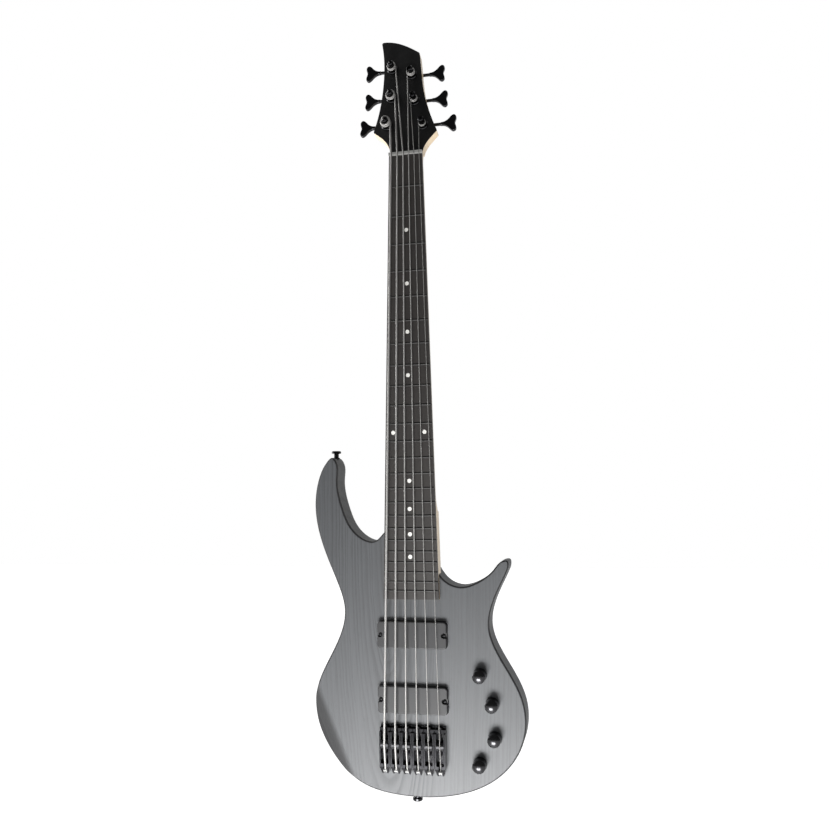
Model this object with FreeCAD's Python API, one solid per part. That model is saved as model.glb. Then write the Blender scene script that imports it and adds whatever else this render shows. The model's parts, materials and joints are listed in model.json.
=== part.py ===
import FreeCAD, Part
import math
import os

# Six-string electric bass guitar: solid body, bolt-on neck, open-gear machine heads.
# X points to the treble side, -Y out of the front face, +Z along the neck to the head.
# The origin is the seat of the tail strap button, on the centre line at mid thickness.

# Whole instrument
scale_length = 863.6
string_diameters = (3.30, 2.67, 2.16, 1.65, 1.14, 0.81)
string_pitch = 16.0
cut_overrun = 3.0
running_clearance = 0.05
moving_clearance = 0.35
small_round = 1.0

# Body
body_width = 310.0
body_length = 485.0
body_thickness = 42.0
body_edge_radius = 2.4
edge_limit_share = 0.92
button_seat_depth = 0.8
pocket_depth = 16.0
bevel_width = 20.0
bevel_depth = 9.0
bevel_round = 40.0
bevel_entry_angle = 4.0
bevel_start_shares = (-0.527, 0.412)
bevel_end_shares = (-0.222, -0.041)
wire_hole_radius = 3.0
wire_hole_depth = 14.0

# Body outline, across and along shares of the body's width and length
body_outline_shares = (
    (0.023, 0.000), (-0.107, 0.005), (-0.223, 0.023), (-0.377, 0.096), (-0.468, 0.198), (-0.469, 0.300),
    (-0.384, 0.419), (-0.330, 0.534), (-0.368, 0.621), (-0.442, 0.738), (-0.475, 0.864),
    (-0.448, 0.950), (-0.418, 0.984), (-0.389, 0.998), (-0.368, 0.983), (-0.364, 0.935),
    (-0.336, 0.837), (-0.265, 0.762), (-0.174, 0.744), (-0.115, 0.777), (-0.085, 0.780),
    (0.087, 0.684), (0.118, 0.656), (0.145, 0.633), (0.219, 0.609), (0.323, 0.628),
    (0.386, 0.661), (0.431, 0.686), (0.449, 0.685), (0.4535, 0.674), (0.444, 0.652), (0.403, 0.599),
    (0.359, 0.493), (0.428, 0.385), (0.512, 0.270), (0.503, 0.169), (0.381, 0.064), (0.144, 0.006),
)

# Neck and fingerboard
nut_width = 51.0
board_end_width = 81.6
board_thickness = 6.0
board_radius = 508.0
board_end_share = 0.764
neck_joint_share = 0.5707
neck_rise = 3.0
neck_depth_at_nut = 14.6
neck_depth_at_heel = 17.0
heel_length = 125.0
heel_blend_length = 42.0
nut_blend_length = 30.0
round_back_power = 2.3
square_back_power = 9.0
fret_count = 24
fret_width = 2.7
fret_height = 1.2
fret_tang_width = 0.6
fret_tang_depth = 2.0
fret_end_inset = 0.4
dot_radius = 3.0
dot_depth = 2.0
dot_frets = (3, 5, 7, 9, 12, 15, 17, 19, 21)
double_dot_fret = 12
double_dot_share = 0.334
side_dot_radius = 1.0
side_dot_depth = 1.5
nut_thickness = 5.0
nut_margin_share = 0.078
nut_action = 0.5
nut_cover = 0.9
octave_action = 2.4
string_groove_clearance = 0.25
truss_rod_radius = 3.0
truss_channel_clearance = 0.1
truss_rod_end_gap = 25.0
truss_nut_radius = 4.0
truss_nut_length = 14.0

# Neck screws in the body's back
ferrule_radius = 7.0
ferrule_depth = 3.0
neck_screw_radius = 2.5
neck_screw_head_radius = 4.6
neck_screw_head_depth = 2.2
neck_screw_bite = 13.0
neck_screw_shares = ((-0.247, 0.604), (0.247, 0.598), (-0.247, 0.716), (0.210, 0.652))

# Headstock, across and along shares of its width and length
head_width = 100.0
head_length = 201.0
head_tilt = 10.0
head_thickness = 14.0
overlay_thickness = 1.0
head_corner_radius = 3.0
right_flare_shares = ((0.255, 0.000), (0.270, 0.034), (0.345, 0.098), (0.468, 0.170))
right_side_shares = ((0.468, 0.170), (0.395, 0.262), (0.322, 0.372), (0.255, 0.503),
                     (0.201, 0.711), (0.165, 0.868))
head_top_shares = ((0.165, 0.868), (-0.060, 0.945), (-0.262, 0.989), (-0.452, 1.000))
left_side_shares = ((-0.452, 1.000), (-0.398, 0.800), (-0.394, 0.657), (-0.412, 0.505),
                    (-0.456, 0.348), (-0.528, 0.203))
left_flare_shares = ((-0.528, 0.203), (-0.400, 0.150), (-0.290, 0.080), (-0.255, 0.000))
post_shares = ((-0.317, 0.252), (-0.255, 0.486), (-0.260, 0.744),
               (0.051, 0.676), (0.107, 0.444), (0.248, 0.225))

# Machine heads
wheel_teeth = 20
wheel_module = 0.8
wheel_thickness = 5.0
worm_pitch_radius = 3.5
tooth_addendum = 0.7
tooth_dedendum = 0.9
tooth_backlash = 0.42
pressure_angle = 20.0
worm_length = 8.6
worm_end_gap = 0.5
lug_thickness = 3.0
lug_radius = 4.0
plate_thickness = 1.5
plate_width = 23.0
plate_length = 33.0
plate_offset = 4.0
plate_corner_radius = 4.0
wheel_gap = 0.9
worm_window_margin = 0.5
post_shaft_radius = 4.0
post_drum_radius = 4.6
post_height = 15.5
post_screw_radius = 2.8
post_screw_height = 1.5
bushing_radius = 6.4
bushing_flange_radius = 8.5
bushing_flange_thickness = 2.5
key_shaft_radius = 2.5
key_length = 48.0
key_width = 28.0
key_thickness = 5.6
key_edge_radius = 1.4
key_shares = ((0.500, 0.089), (0.625, 0.120), (0.750, 0.270), (0.840, 0.440), (0.925, 0.500),
              (0.988, 0.420), (0.998, 0.230), (0.964, 0.000))
tuner_screw_radius = 1.1
tuner_screw_head_radius = 2.2
tuner_screw_head_height = 1.0
tuner_screw_bite = 9.0
tuner_screw_inset = 3.0

# String windings on the posts
winding_turns = (2.25, 2.25, 2.25, 2.75, 2.75, 3.25)
winding_gap = 0.60
winding_floor = 1.2
slot_clearance = 0.40
nut_bend_radius = 20.0
saddle_bend_radius = 15.0
ball_radius = 3.2
ball_length = 5.6

# Bridge units
unit_width = 15.4
unit_front = 26.0
unit_rear = 40.4
unit_height = 13.0
unit_floor = 2.5
unit_wall = 2.2
unit_tail_width = 9.0
unit_tail_height = 8.0
unit_tail_start = 30.0
channel_front = 18.0
channel_rear = 26.0
lip_front = 23.0
lip_height = 9.0
ball_stop = 32.5
ball_height = 8.6
ball_pocket_clearance = 0.3
unit_edge_radius = 1.2
saddle_length = 11.0
saddle_side_clearance = 0.2
saddle_floor_clearance = 0.3
saddle_crest_length = 3.0
saddle_cheek_rise = 0.7
saddle_shoulder_drop = 3.2
saddle_travel = 4.0
intonation_screw_radius = 1.5
intonation_screw_height = 5.9
intonation_screw_spare = 4.5
intonation_head_radius = 2.7
intonation_head_length = 2.4
driver_slot_width = 0.8
driver_slot_depth = 1.0
unit_screw_radius = 1.8
unit_screw_head_radius = 3.4
unit_screw_bite = 16.0
unit_screw_front = 13.4
unit_screw_rear = 17.0

# Pickups
pickup_width = 101.6
pickup_height = 38.1
pickup_depth = 18.0
pickup_rise = 8.0
pickup_wall = 2.0
pickup_end_wall = 10.0
pickup_corner_radius = 5.0
pickup_edge_radius = 1.5
pickup_clearance = 0.5
neck_pickup_gap = 31.8
bridge_pickup_gap = 16.6
pickup_notch_radius = 3.9
pickup_notch_inset = 2.2
pickup_notch_depth = 4.0
pickup_screw_radius = 1.6
pickup_screw_head_radius = 2.9
pickup_screw_head_height = 1.6
pickup_screw_bite = 10.0
coil_length = 78.0
coil_width = 26.0
coil_height = 8.0
magnet_length = 66.0
magnet_width = 9.0

# Controls
knob_shares = ((0.313, 0.354), (0.367, 0.2725), (0.376, 0.177), (0.306, 0.103))
knob_radius = 10.0
knob_top_radius = 9.2
knob_height = 17.0
knob_crown = 3.5
knob_gap = 1.0
knob_socket_radius = 7.2
knob_socket_depth = 5.0
knob_top_wall = 3.0
control_wall = 6.0
pot_radius = 8.4
pot_height = 9.0
pot_bush_radius = 4.2
pot_bush_rise = 4.2
pot_shaft_radius = 3.0
pot_shaft_root = 3.0
pot_nut_sides = 6
pot_nut_radius = 6.0
pot_nut_height = 2.4
cover_thickness = 2.4
cover_ledge = 6.0
cover_clearance = 0.3
cover_corner_radius = 8.0
cover_shares = ((0.226, 0.066), (0.329, 0.068), (0.448, 0.165),
                (0.448, 0.280), (0.368, 0.396), (0.245, 0.396))
cover_screw_inset = 4.4
cover_screw_radius = 1.2
cover_screw_head_radius = 2.4
cover_screw_bite = 9.0

# Output jack
jack_edge_shares = cover_shares[1:3]
jack_seat_distance = 19.5
jack_seat_radius = 10.5
jack_barrel_radius = 6.0
jack_bore_radius = 3.2
jack_inner_length = 10.0
jack_outer_length = 4.5
jack_nut_radius = 8.6
jack_nut_height = 3.0

# Strap buttons
button_flange_radius = 5.5
button_flange_height = 1.6
button_neck_radius = 3.7
button_head_radius = 7.2
button_head_height = 3.6
button_height = 12.0
button_bore_radius = 2.2
button_screw_head_radius = 4.2
button_screw_head_depth = 2.2
button_screw_bite = 24.0
horn_button_share = -0.388
horn_seat_drop = 3.0

# Levels and places that follow from the sizes
front_y = -body_thickness / 2
back_y = body_thickness / 2
board_bottom_y = front_y - neck_rise
board_top_y = board_bottom_y - board_thickness
heel_back_y = front_y + pocket_depth
truss_rod_y = board_bottom_y + truss_nut_radius + truss_channel_clearance
board_end_z = neck_joint_share * body_length
nut_z = board_end_z + board_end_share * scale_length
saddle_line_height = nut_z - scale_length
heel_top_z = board_end_z + heel_length
pickup_heights = (board_end_z - neck_pickup_gap - pickup_height / 2,
                  saddle_line_height + unit_front + bridge_pickup_gap + pickup_height / 2)
head_foot_z = nut_z + nut_thickness
horn_seat_z = body_length - horn_seat_drop
head_place = FreeCAD.Placement(FreeCAD.Vector(0, board_bottom_y, head_foot_z),
                               FreeCAD.Rotation(FreeCAD.Vector(1, 0, 0), 90 - head_tilt))
plate_back_c = -overlay_thickness - head_thickness - plate_thickness
wheel_top_c = plate_back_c - wheel_gap
wheel_bottom_c = wheel_top_c - wheel_thickness
worm_c = (wheel_top_c + wheel_bottom_c) / 2
wheel_pitch_radius = wheel_module * wheel_teeth / 2
gear_distance = wheel_pitch_radius + worm_pitch_radius
worm_lead = math.pi * wheel_module
post_foot_c = bushing_flange_thickness + moving_clearance
post_top_c = post_foot_c + post_height
saddle_floor_y = front_y - unit_floor
unit_xs = tuple((i - (len(string_diameters) - 1) / 2) * string_pitch for i in range(len(string_diameters)))


def vec(x, y, z):
    """A point or direction."""
    return FreeCAD.Vector(x, y, z)


def block(x0, x1, y0, y1, z0, z1):
    """A box between two corners."""
    return Part.makeBox(x1 - x0, y1 - y0, z1 - z0, vec(x0, y0, z0))


def rod(start, axis, radius, length):
    """A round bar from a point along a direction."""
    return Part.makeCylinder(radius, length, start, axis)


def spline(points):
    """A smooth open edge through points."""
    curve = Part.BSplineCurve()
    curve.interpolate(points)
    return curve.toShape()


def closed_spline(points):
    """A smooth closed wire through points."""
    curve = Part.BSplineCurve()
    curve.interpolate(Points=points, PeriodicFlag=True)
    return Part.Wire(curve.toShape())


def polygon(points):
    """A closed wire of straight edges."""
    return Part.makePolygon(list(points) + [points[0]])


def extrude(wire, direction):
    """A solid from a flat closed wire."""
    return Part.Face(wire).extrude(direction)


def turned(profile, start, axis):
    """A solid of revolution from (radius, height) pairs, set on a start point along an axis."""
    wire = polygon([vec(radius, 0, height) for radius, height in profile])
    solid = Part.Face(wire).revolve(vec(0, 0, 0), vec(0, 0, 1), 360)
    solid.Placement = FreeCAD.Placement(start, FreeCAD.Rotation(vec(0, 0, 1), axis))
    return solid


def round_edges(solid, radius, keep):
    """Round the edges of a solid that a test picks."""
    return solid.makeFillet(radius, [edge for edge in solid.Edges if keep(edge)])


def along(edge, axis):
    """Whether an edge is straight and lies along an axis."""
    if edge.Curve.TypeId != "Part::GeomLine":
        return False
    return abs(edge.Curve.Direction.dot(axis)) > math.cos(math.radians(1))


def on_head(shape):
    """Carry a shape from the headstock's own frame to the instrument's frame."""
    placed = shape.copy()
    placed.Placement = head_place.multiply(placed.Placement)
    return placed


def on_body(shares):
    """A place on the body's front from its shares of width and length."""
    return shares[0] * body_width, shares[1] * body_length


def save(name, solids):
    """Write one node and print its volume."""
    shape = solids[0] if len(solids) == 1 else Part.makeCompound(solids)
    shape.exportStep("parts/%s.step" % name)
    print("%-22s %3d solids %10.1f mm3" % (name, len(shape.Solids), shape.Volume))


def camber(x):
    """Fall of the fingerboard's face at a distance from the centre line."""
    return board_radius - math.sqrt(board_radius ** 2 - x ** 2)


def board_half_width(z):
    """Half the fingerboard's width at a height."""
    share = (nut_z - z) / (nut_z - board_end_z)
    return (nut_width + (board_end_width - nut_width) * share) / 2


def fret_z(number):
    """Height of a fret, each a twelfth of an octave from the next."""
    return saddle_line_height + scale_length * 2 ** (-number / 12)


def nut_string_xs():
    """String places at the nut, with equal gaps between neighbouring strings."""
    edge = nut_width / 2 - nut_width * nut_margin_share
    radii = [diameter / 2 for diameter in string_diameters]
    used = sum(radii[i] + radii[i + 1] for i in range(len(radii) - 1))
    gap = (2 * edge - used) / (len(radii) - 1)
    places = [-edge]
    for i in range(len(radii) - 1):
        places.append(places[-1] + radii[i] + gap + radii[i + 1])
    return places


def string_at_nut(i):
    """Centre of a string over the nut's front edge."""
    x = nut_string_xs()[i]
    under_y = board_top_y + camber(x) - fret_height - nut_action
    return vec(x, under_y - string_diameters[i] / 2, nut_z)


def string_at_saddle(i):
    """Centre of a string over its saddle."""
    x = unit_xs[i]
    rise = nut_action + 2 * (octave_action - nut_action)
    under_y = board_top_y + camber(x) - fret_height - rise
    return vec(x, under_y - string_diameters[i] / 2, saddle_line_height)


def string_at_ball(i):
    """Centre of a string's ball end."""
    return vec(unit_xs[i], front_y - ball_height, saddle_line_height - ball_stop - ball_radius)


def tightest_bend(edge):
    """Least radius of curvature along a smooth edge."""
    first, last = edge.ParameterRange
    steps = 2000
    return 1 / max(edge.curvatureAt(first + (last - first) * k / steps) for k in range(steps))


def make_body():
    """Body with its edges rounded, its bevel, pocket and cavities."""
    points = [vec(*on_body(share), 0) for share in body_outline_shares]
    points = [vec(p.x, front_y, p.y - button_seat_depth) for p in points]
    outline = closed_spline(points)
    body = extrude(outline, vec(0, body_thickness, 0))
    rim = [edge for edge in body.Edges if edge.BoundBox.YLength < body_edge_radius]
    body = body.makeFillet(min(body_edge_radius, edge_limit_share * tightest_bend(outline.Edges[0])), rim)
    cuts = [make_bevel_cut(), make_heel_block(cut_overrun, heel_top_z + heel_blend_length)]
    cuts += [make_pickup_block(z, pickup_clearance) for z in pickup_heights]
    cuts += make_wire_holes()
    cuts += make_control_cuts()
    cuts += make_button_seats()
    cuts += make_neck_screw_holes()
    return body.cut(cuts)


def make_bevel_cut():
    """Wedge that takes the forearm bevel off the lower bass bout, rolling softly out of the face."""
    start_x, start_z = on_body(bevel_start_shares)
    end_x, end_z = on_body(bevel_end_shares)
    start = vec(start_x, front_y, start_z)
    run = vec(end_x, front_y, end_z) - start
    into = vec(0, 1, 0)
    out = into.cross(run).normalize()
    slope = math.atan2(bevel_depth, bevel_width)
    entry = math.radians(bevel_entry_angle)
    centre = start - out * (bevel_round * math.sin(entry)) + into * (bevel_round * math.cos(entry))
    roll = [centre + (out * math.sin(angle) - into * math.cos(angle)) * bevel_round
            for angle in (0, slope / 2, slope)]
    fall = (out * math.cos(slope) + into * math.sin(slope)) * (2 * bevel_width)
    foot = roll[2] + fall
    over = into * cut_overrun
    corners = [roll[2], foot, vec(foot.x, front_y, foot.z) - over, roll[0] - over, roll[0]]
    wire = Part.Wire([Part.Arc(*roll).toShape(), Part.makePolygon(corners)])
    return extrude(wire, run)


def make_heel_block(rise, end_z):
    """Tapered block of the neck's heel, or of its pocket when it rises past the face and runs on."""
    top_y = board_bottom_y - rise
    wires = []
    for z in (board_end_z, end_z):
        half = board_half_width(z)
        wires.append(polygon([vec(-half, top_y, z), vec(half, top_y, z),
                              vec(half, heel_back_y, z), vec(-half, heel_back_y, z)]))
    return Part.makeLoft(wires, True, True)


def make_pickup_block(z, clearance):
    """Rounded block of a pickup, or of its cavity when it has a clearance."""
    half_x = pickup_width / 2 + clearance
    half_z = pickup_height / 2 + clearance
    solid = block(-half_x, half_x, front_y - pickup_rise, front_y + pickup_depth - pickup_rise,
                  z - half_z, z + half_z)
    return round_edges(solid, pickup_corner_radius + clearance, lambda edge: along(edge, vec(0, 1, 0)))


def make_wire_holes():
    """Drilled ways for the pickup wires to the control cavity."""
    holes = []
    cavity_x = on_body(cover_shares[0])[0] + cover_ledge
    for z in pickup_heights:
        start = vec(pickup_width / 2 - pickup_end_wall, front_y + wire_hole_depth - pickup_rise, z)
        target = vec(cavity_x + cover_ledge, start.y + cover_ledge, pickup_heights[1] + pickup_height / 2)
        way = target - start
        holes.append(rod(start, way, wire_hole_radius, way.Length))
    return holes


def cover_wire(y, inset):
    """Outline of the control cavity cover at a depth, drawn in by an inset."""
    wire = polygon([vec(x, y, z) for x, z in (on_body(share) for share in cover_shares)])
    return wire.makeOffset2D(-inset, 2) if inset else wire


def rounded_cover_block(y0, y1, inset, radius):
    """Plate or hollow with the cover's outline between two depths."""
    solid = extrude(cover_wire(y0, inset), vec(0, y1 - y0, 0))
    return round_edges(solid, radius, lambda edge: along(edge, vec(0, 1, 0)))


def jack_frame():
    """Point on the control cavity's wall and outward direction of the output jack."""
    (ax, az), (bx, bz) = [on_body(share) for share in jack_edge_shares]
    out = vec(bz - az, 0, ax - bx).normalize()
    return vec((ax + bx) / 2, 0, (az + bz) / 2) - out * cover_ledge, out


def make_control_cuts():
    """Control cavity, cover recess, room for the pots, and the jack's hole and seat."""
    recess = rounded_cover_block(back_y - cover_thickness, back_y + cut_overrun, -cover_clearance,
                                 cover_corner_radius + cover_clearance)
    hollow = rounded_cover_block(front_y + control_wall, back_y, cover_ledge, cover_corner_radius)
    cuts = [recess, hollow]
    for share in knob_shares:
        x, z = on_body(share)
        cuts.append(rod(vec(x, front_y - cut_overrun, z), vec(0, 1, 0), pot_bush_radius + running_clearance,
                        control_wall + 2 * cut_overrun))
        cuts.append(rod(vec(x, front_y + control_wall, z), vec(0, 1, 0), pot_radius + moving_clearance,
                        pot_height + cut_overrun))
    wall, out = jack_frame()
    cuts.append(rod(wall - out * cut_overrun, out, jack_barrel_radius + running_clearance,
                    jack_seat_distance + 2 * cut_overrun))
    cuts.append(rod(wall + out * jack_seat_distance, out, jack_seat_radius, body_thickness))
    return cuts


def make_button_seats():
    """Flats under the strap buttons."""
    reach = button_flange_radius + moving_clearance
    tail = rod(vec(0, 0, 0), vec(0, 0, -1), reach, button_height)
    horn = rod(vec(horn_button_share * body_width, 0, horn_seat_z), vec(0, 0, 1), 2 * reach, button_height)
    return [tail, horn]


def neck_screw_places():
    """Centres of the neck screws on the body's back."""
    return [(across * board_end_width, up * body_length) for across, up in neck_screw_shares]


def make_neck_screw_holes():
    """Clearance holes and ferrule seats in the body's back."""
    cuts = []
    for x, z in neck_screw_places():
        cuts.append(rod(vec(x, back_y - ferrule_depth, z), vec(0, 1, 0), ferrule_radius + running_clearance,
                        ferrule_depth + cut_overrun))
        cuts.append(rod(vec(x, heel_back_y - cut_overrun, z), vec(0, 1, 0),
                        neck_screw_radius + running_clearance, body_thickness))
    return cuts


def make_ferrules():
    """Recessed cups under the neck screw heads."""
    cups = []
    for x, z in neck_screw_places():
        profile = ((neck_screw_radius + running_clearance, 0), (ferrule_radius, 0),
                   (ferrule_radius, ferrule_depth), (neck_screw_head_radius, ferrule_depth),
                   (neck_screw_radius + running_clearance, ferrule_depth - neck_screw_head_depth))
        cups.append(turned(profile, vec(x, back_y - ferrule_depth, z), vec(0, 1, 0)))
    return cups


def make_neck_screws():
    """Countersunk screws from the body's back into the heel."""
    screws = []
    length = back_y - heel_back_y + neck_screw_bite
    for x, z in neck_screw_places():
        screws.append(countersunk(vec(x, back_y, z), vec(0, -1, 0), neck_screw_head_radius,
                                  neck_screw_head_depth, neck_screw_radius, length))
    return screws


def countersunk(top, into, head_radius, head_depth, shank_radius, length):
    """A flat-topped screw with its head's face on a point."""
    profile = ((0, 0), (head_radius, 0), (shank_radius, head_depth), (shank_radius, length), (0, length))
    return turned(profile, top, into)


def back_section(z, depth, power):
    """Cross-section of the neck: a flat top and a back whose power makes it round or square."""
    half = board_half_width(z)
    steps = 10
    points = []
    for k in range(steps + 1):
        angle = math.pi * k / steps
        cosine = math.cos(angle)
        x = half * math.copysign(abs(cosine) ** (2 / power), cosine)
        points.append(vec(x, board_bottom_y + depth * math.sin(angle) ** (2 / power), z))
    points[0] = vec(half, board_bottom_y, z)
    points[-1] = vec(-half, board_bottom_y, z)
    return Part.Wire([spline(points), Part.makeLine(points[-1], points[0])])


def make_neck():
    """Neck with its heel, shaped back and tilted headstock core."""
    heel_depth = heel_back_y - board_bottom_y
    blend_z = heel_top_z + heel_blend_length
    round_z = head_foot_z - nut_blend_length
    blend = Part.makeLoft([back_section(heel_top_z, heel_depth, square_back_power),
                           back_section(blend_z, neck_depth_at_heel, round_back_power)], True)
    shaft = Part.makeLoft([back_section(blend_z, neck_depth_at_heel, round_back_power),
                           back_section(round_z, neck_depth_at_nut, round_back_power)], True)
    throat = Part.makeLoft([back_section(round_z, neck_depth_at_nut, round_back_power),
                            back_section(head_foot_z, neck_depth_at_nut, square_back_power)], True)
    core = on_head(head_plate(-overlay_thickness - head_thickness, -overlay_thickness))
    neck = make_heel_block(0, heel_top_z).fuse([blend, shaft, throat, core]).removeSplitter()
    cuts = [truss_channel(), on_head(head_plate(-overlay_thickness, cut_overrun))]
    cuts += [on_head(rod(vec(a, b, 0), vec(0, 0, -1), bushing_radius + running_clearance,
                         overlay_thickness + head_thickness + cut_overrun)) for a, b in post_places()]
    return neck.cut(cuts)


def truss_channel():
    """Groove for the truss rod under the fingerboard."""
    half = truss_rod_radius + truss_channel_clearance
    nut_half = truss_nut_radius + truss_channel_clearance
    low_z = board_end_z - cut_overrun
    groove = block(-half, half, board_bottom_y, truss_rod_y + half, low_z, nut_z - truss_rod_end_gap)
    seat = block(-nut_half, nut_half, board_bottom_y, truss_rod_y + nut_half, low_z,
                 board_end_z + truss_nut_length)
    return groove.fuse(seat)


def make_truss_rod():
    """Truss rod with its adjusting nut at the heel."""
    foot = vec(0, truss_rod_y, board_end_z)
    bar = rod(foot, vec(0, 0, 1), truss_rod_radius, nut_z - truss_rod_end_gap - board_end_z)
    nut = rod(foot, vec(0, 0, 1), truss_nut_radius, truss_nut_length)
    return bar.fuse(nut)


def head_points(shares):
    """Points of the headstock's outline in its own frame."""
    return [vec(across * head_width, up * head_length, 0) for across, up in shares]


def head_plate(low, high):
    """A plate of the headstock's outline between two levels of its own frame."""
    runs = [right_flare_shares, right_side_shares, head_top_shares, left_side_shares, left_flare_shares]
    edges = [spline(head_points(run)) for run in runs]
    edges.append(Part.makeLine(head_points(left_flare_shares)[-1], head_points(right_flare_shares)[0]))
    wire = Part.Wire(edges)
    wire.translate(vec(0, 0, low))
    plate = extrude(wire, vec(0, 0, high - low))
    foot = head_corner_radius

    def corner(edge):
        return along(edge, vec(0, 0, 1)) and edge.CenterOfMass.y > foot

    return round_edges(plate, head_corner_radius, corner)


def post_places():
    """Centres of the six posts in the headstock's frame."""
    return [(across * head_width, up * head_length) for across, up in post_shares]


def head_side(i):
    """Side of the headstock that carries a string's machine head: -1 bass, 1 treble."""
    return -1 if i < len(post_shares) / 2 else 1


def make_overlay():
    """Dark veneer on the headstock's face."""
    holes = [rod(vec(a, b, -overlay_thickness - cut_overrun), vec(0, 0, 1),
                 bushing_radius + running_clearance, overlay_thickness + 2 * cut_overrun)
             for a, b in post_places()]
    return on_head(head_plate(-overlay_thickness, 0).cut(holes))


def make_board_blank():
    """Tapered fingerboard with its arched face, before its slots."""
    wires = []
    for z in (board_end_z, nut_z):
        half = board_half_width(z)
        wires.append(polygon([vec(-half, board_top_y, z), vec(half, board_top_y, z),
                              vec(half, board_bottom_y, z), vec(-half, board_bottom_y, z)]))
    arch = rod(vec(0, board_top_y + board_radius, board_end_z - cut_overrun), vec(0, 0, 1), board_radius,
               nut_z - board_end_z + 2 * cut_overrun)
    return Part.makeLoft(wires, True, True).common(arch)


def make_fret(number):
    """One fret wire with its tang, bent to the fingerboard's arch."""
    z = fret_z(number)
    crown_half = fret_width / 2
    tang_half = fret_tang_width / 2
    left = vec(0, board_top_y, z - crown_half)
    top = vec(0, board_top_y - fret_height, z)
    right = vec(0, board_top_y, z + crown_half)
    tang_y = board_top_y + fret_tang_depth
    foot = [right, vec(0, board_top_y, z + tang_half), vec(0, tang_y, z + tang_half),
            vec(0, tang_y, z - tang_half), vec(0, board_top_y, z - tang_half), left]
    return bent_to_arch(Part.Wire([Part.Arc(left, top, right).toShape(), Part.makePolygon(foot)]), z)


def make_fret_slot(number):
    """Cutter of the slot for one fret's tang."""
    z = fret_z(number)
    half = fret_tang_width / 2
    high_y = board_top_y - cut_overrun
    low_y = board_top_y + fret_tang_depth
    return bent_to_arch(polygon([vec(0, high_y, z - half), vec(0, high_y, z + half),
                                 vec(0, low_y, z + half), vec(0, low_y, z - half)]), z)


def bent_to_arch(wire, z):
    """Section swept along the fingerboard's arch at a height, short of the board's edges."""
    half_angle = math.degrees(math.asin((board_half_width(z) - fret_end_inset) / board_radius))
    centre = vec(0, board_top_y + board_radius, 0)
    face = Part.Face(wire)
    face.rotate(centre, vec(0, 0, 1), -half_angle)
    return face.revolve(centre, vec(0, 0, 1), 2 * half_angle)


def make_dot_pins():
    """Pins of the position dots in the face and the bass edge, standing past the wood."""
    pins = []
    for number in dot_frets:
        z = (fret_z(number) + fret_z(number - 1)) / 2
        places = (0,)
        if number == double_dot_fret:
            reach = 2 * double_dot_share * board_half_width(z)
            places = (-reach, reach)
        for x in places:
            pins.append(rod(vec(x, board_top_y - cut_overrun, z), vec(0, 1, 0), dot_radius,
                            dot_depth + cut_overrun))
        edge = -board_half_width(z)
        pins.append(rod(vec(edge - cut_overrun, (board_top_y + board_bottom_y) / 2, z), vec(1, 0, 0),
                        side_dot_radius, side_dot_depth + cut_overrun))
    return pins


def make_nut(strings_out):
    """Nut with a slanted groove for each string."""
    half = nut_width / 2
    top_y = board_top_y - fret_height - nut_action - nut_cover
    nut = block(-half, half, top_y, board_bottom_y, nut_z, nut_z + nut_thickness)

    def front_edge(edge):
        return along(edge, vec(1, 0, 0)) and edge.CenterOfMass.y < board_top_y

    nut = round_edges(nut, nut_cover, front_edge)
    cuts = []
    for i, diameter in enumerate(string_diameters):
        start = string_at_nut(i)
        way = (strings_out[i] - start).normalize()
        cuts.append(string_groove(start - way * nut_thickness, way, diameter, 4 * nut_thickness))
    return nut.cut(cuts)


def string_groove(start, way, diameter, length):
    """A round-bottomed cut along a string, open to the front."""
    radius = diameter / 2 + string_groove_clearance
    across = way.cross(vec(0, 1, 0)).normalize()
    front = way.cross(across).normalize()
    if front.y > 0:
        front = -front
    rise = front * (radius + nut_thickness)
    left, right = start - across * radius, start + across * radius
    bottom = Part.Arc(left, start - front * radius, right).toShape()
    sides = Part.makePolygon([right, right + rise, left + rise, left])
    return extrude(Part.Wire([bottom, sides]), way * length)


def arc_from(start, tangent, end):
    """The arc that leaves a point along a tangent and ends on another point."""
    chord = end - start
    unit = vec(chord.x, chord.y, chord.z).normalize()
    side = tangent - unit * tangent.dot(unit)
    side.normalize()
    half_turn = math.acos(max(-1, min(1, tangent.dot(unit))))
    middle = (start + end) * 0.5 + side * (chord.Length / 2 * math.tan(half_turn / 2))
    return Part.Arc(start, middle, end).toShape()


def biarc(start, start_way, end, end_way):
    """Two arcs that join two points with given tangents."""
    chord = end - start
    ways = start_way + end_way
    spread = 2 * (1 - start_way.dot(end_way))
    lean = chord.dot(ways)
    reach = (math.sqrt(lean ** 2 + spread * chord.dot(chord)) - lean) / spread
    joint = (start + end + (start_way - end_way) * reach) * 0.5
    first = arc_from(start, start_way, joint)
    turn = first.tangentAt(first.LastParameter)
    return [first, arc_from(joint, vec(turn.x, turn.y, turn.z), end)]


def bend(before, corner, after, radius):
    """An arc that rounds a corner between two straight runs."""
    way_in = (corner - before).normalize()
    way_out = (after - corner).normalize()
    reach = radius * math.tan(math.acos(way_in.dot(way_out)) / 2)
    return arc_from(corner - way_in * reach, way_in, corner + way_out * reach)


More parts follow.
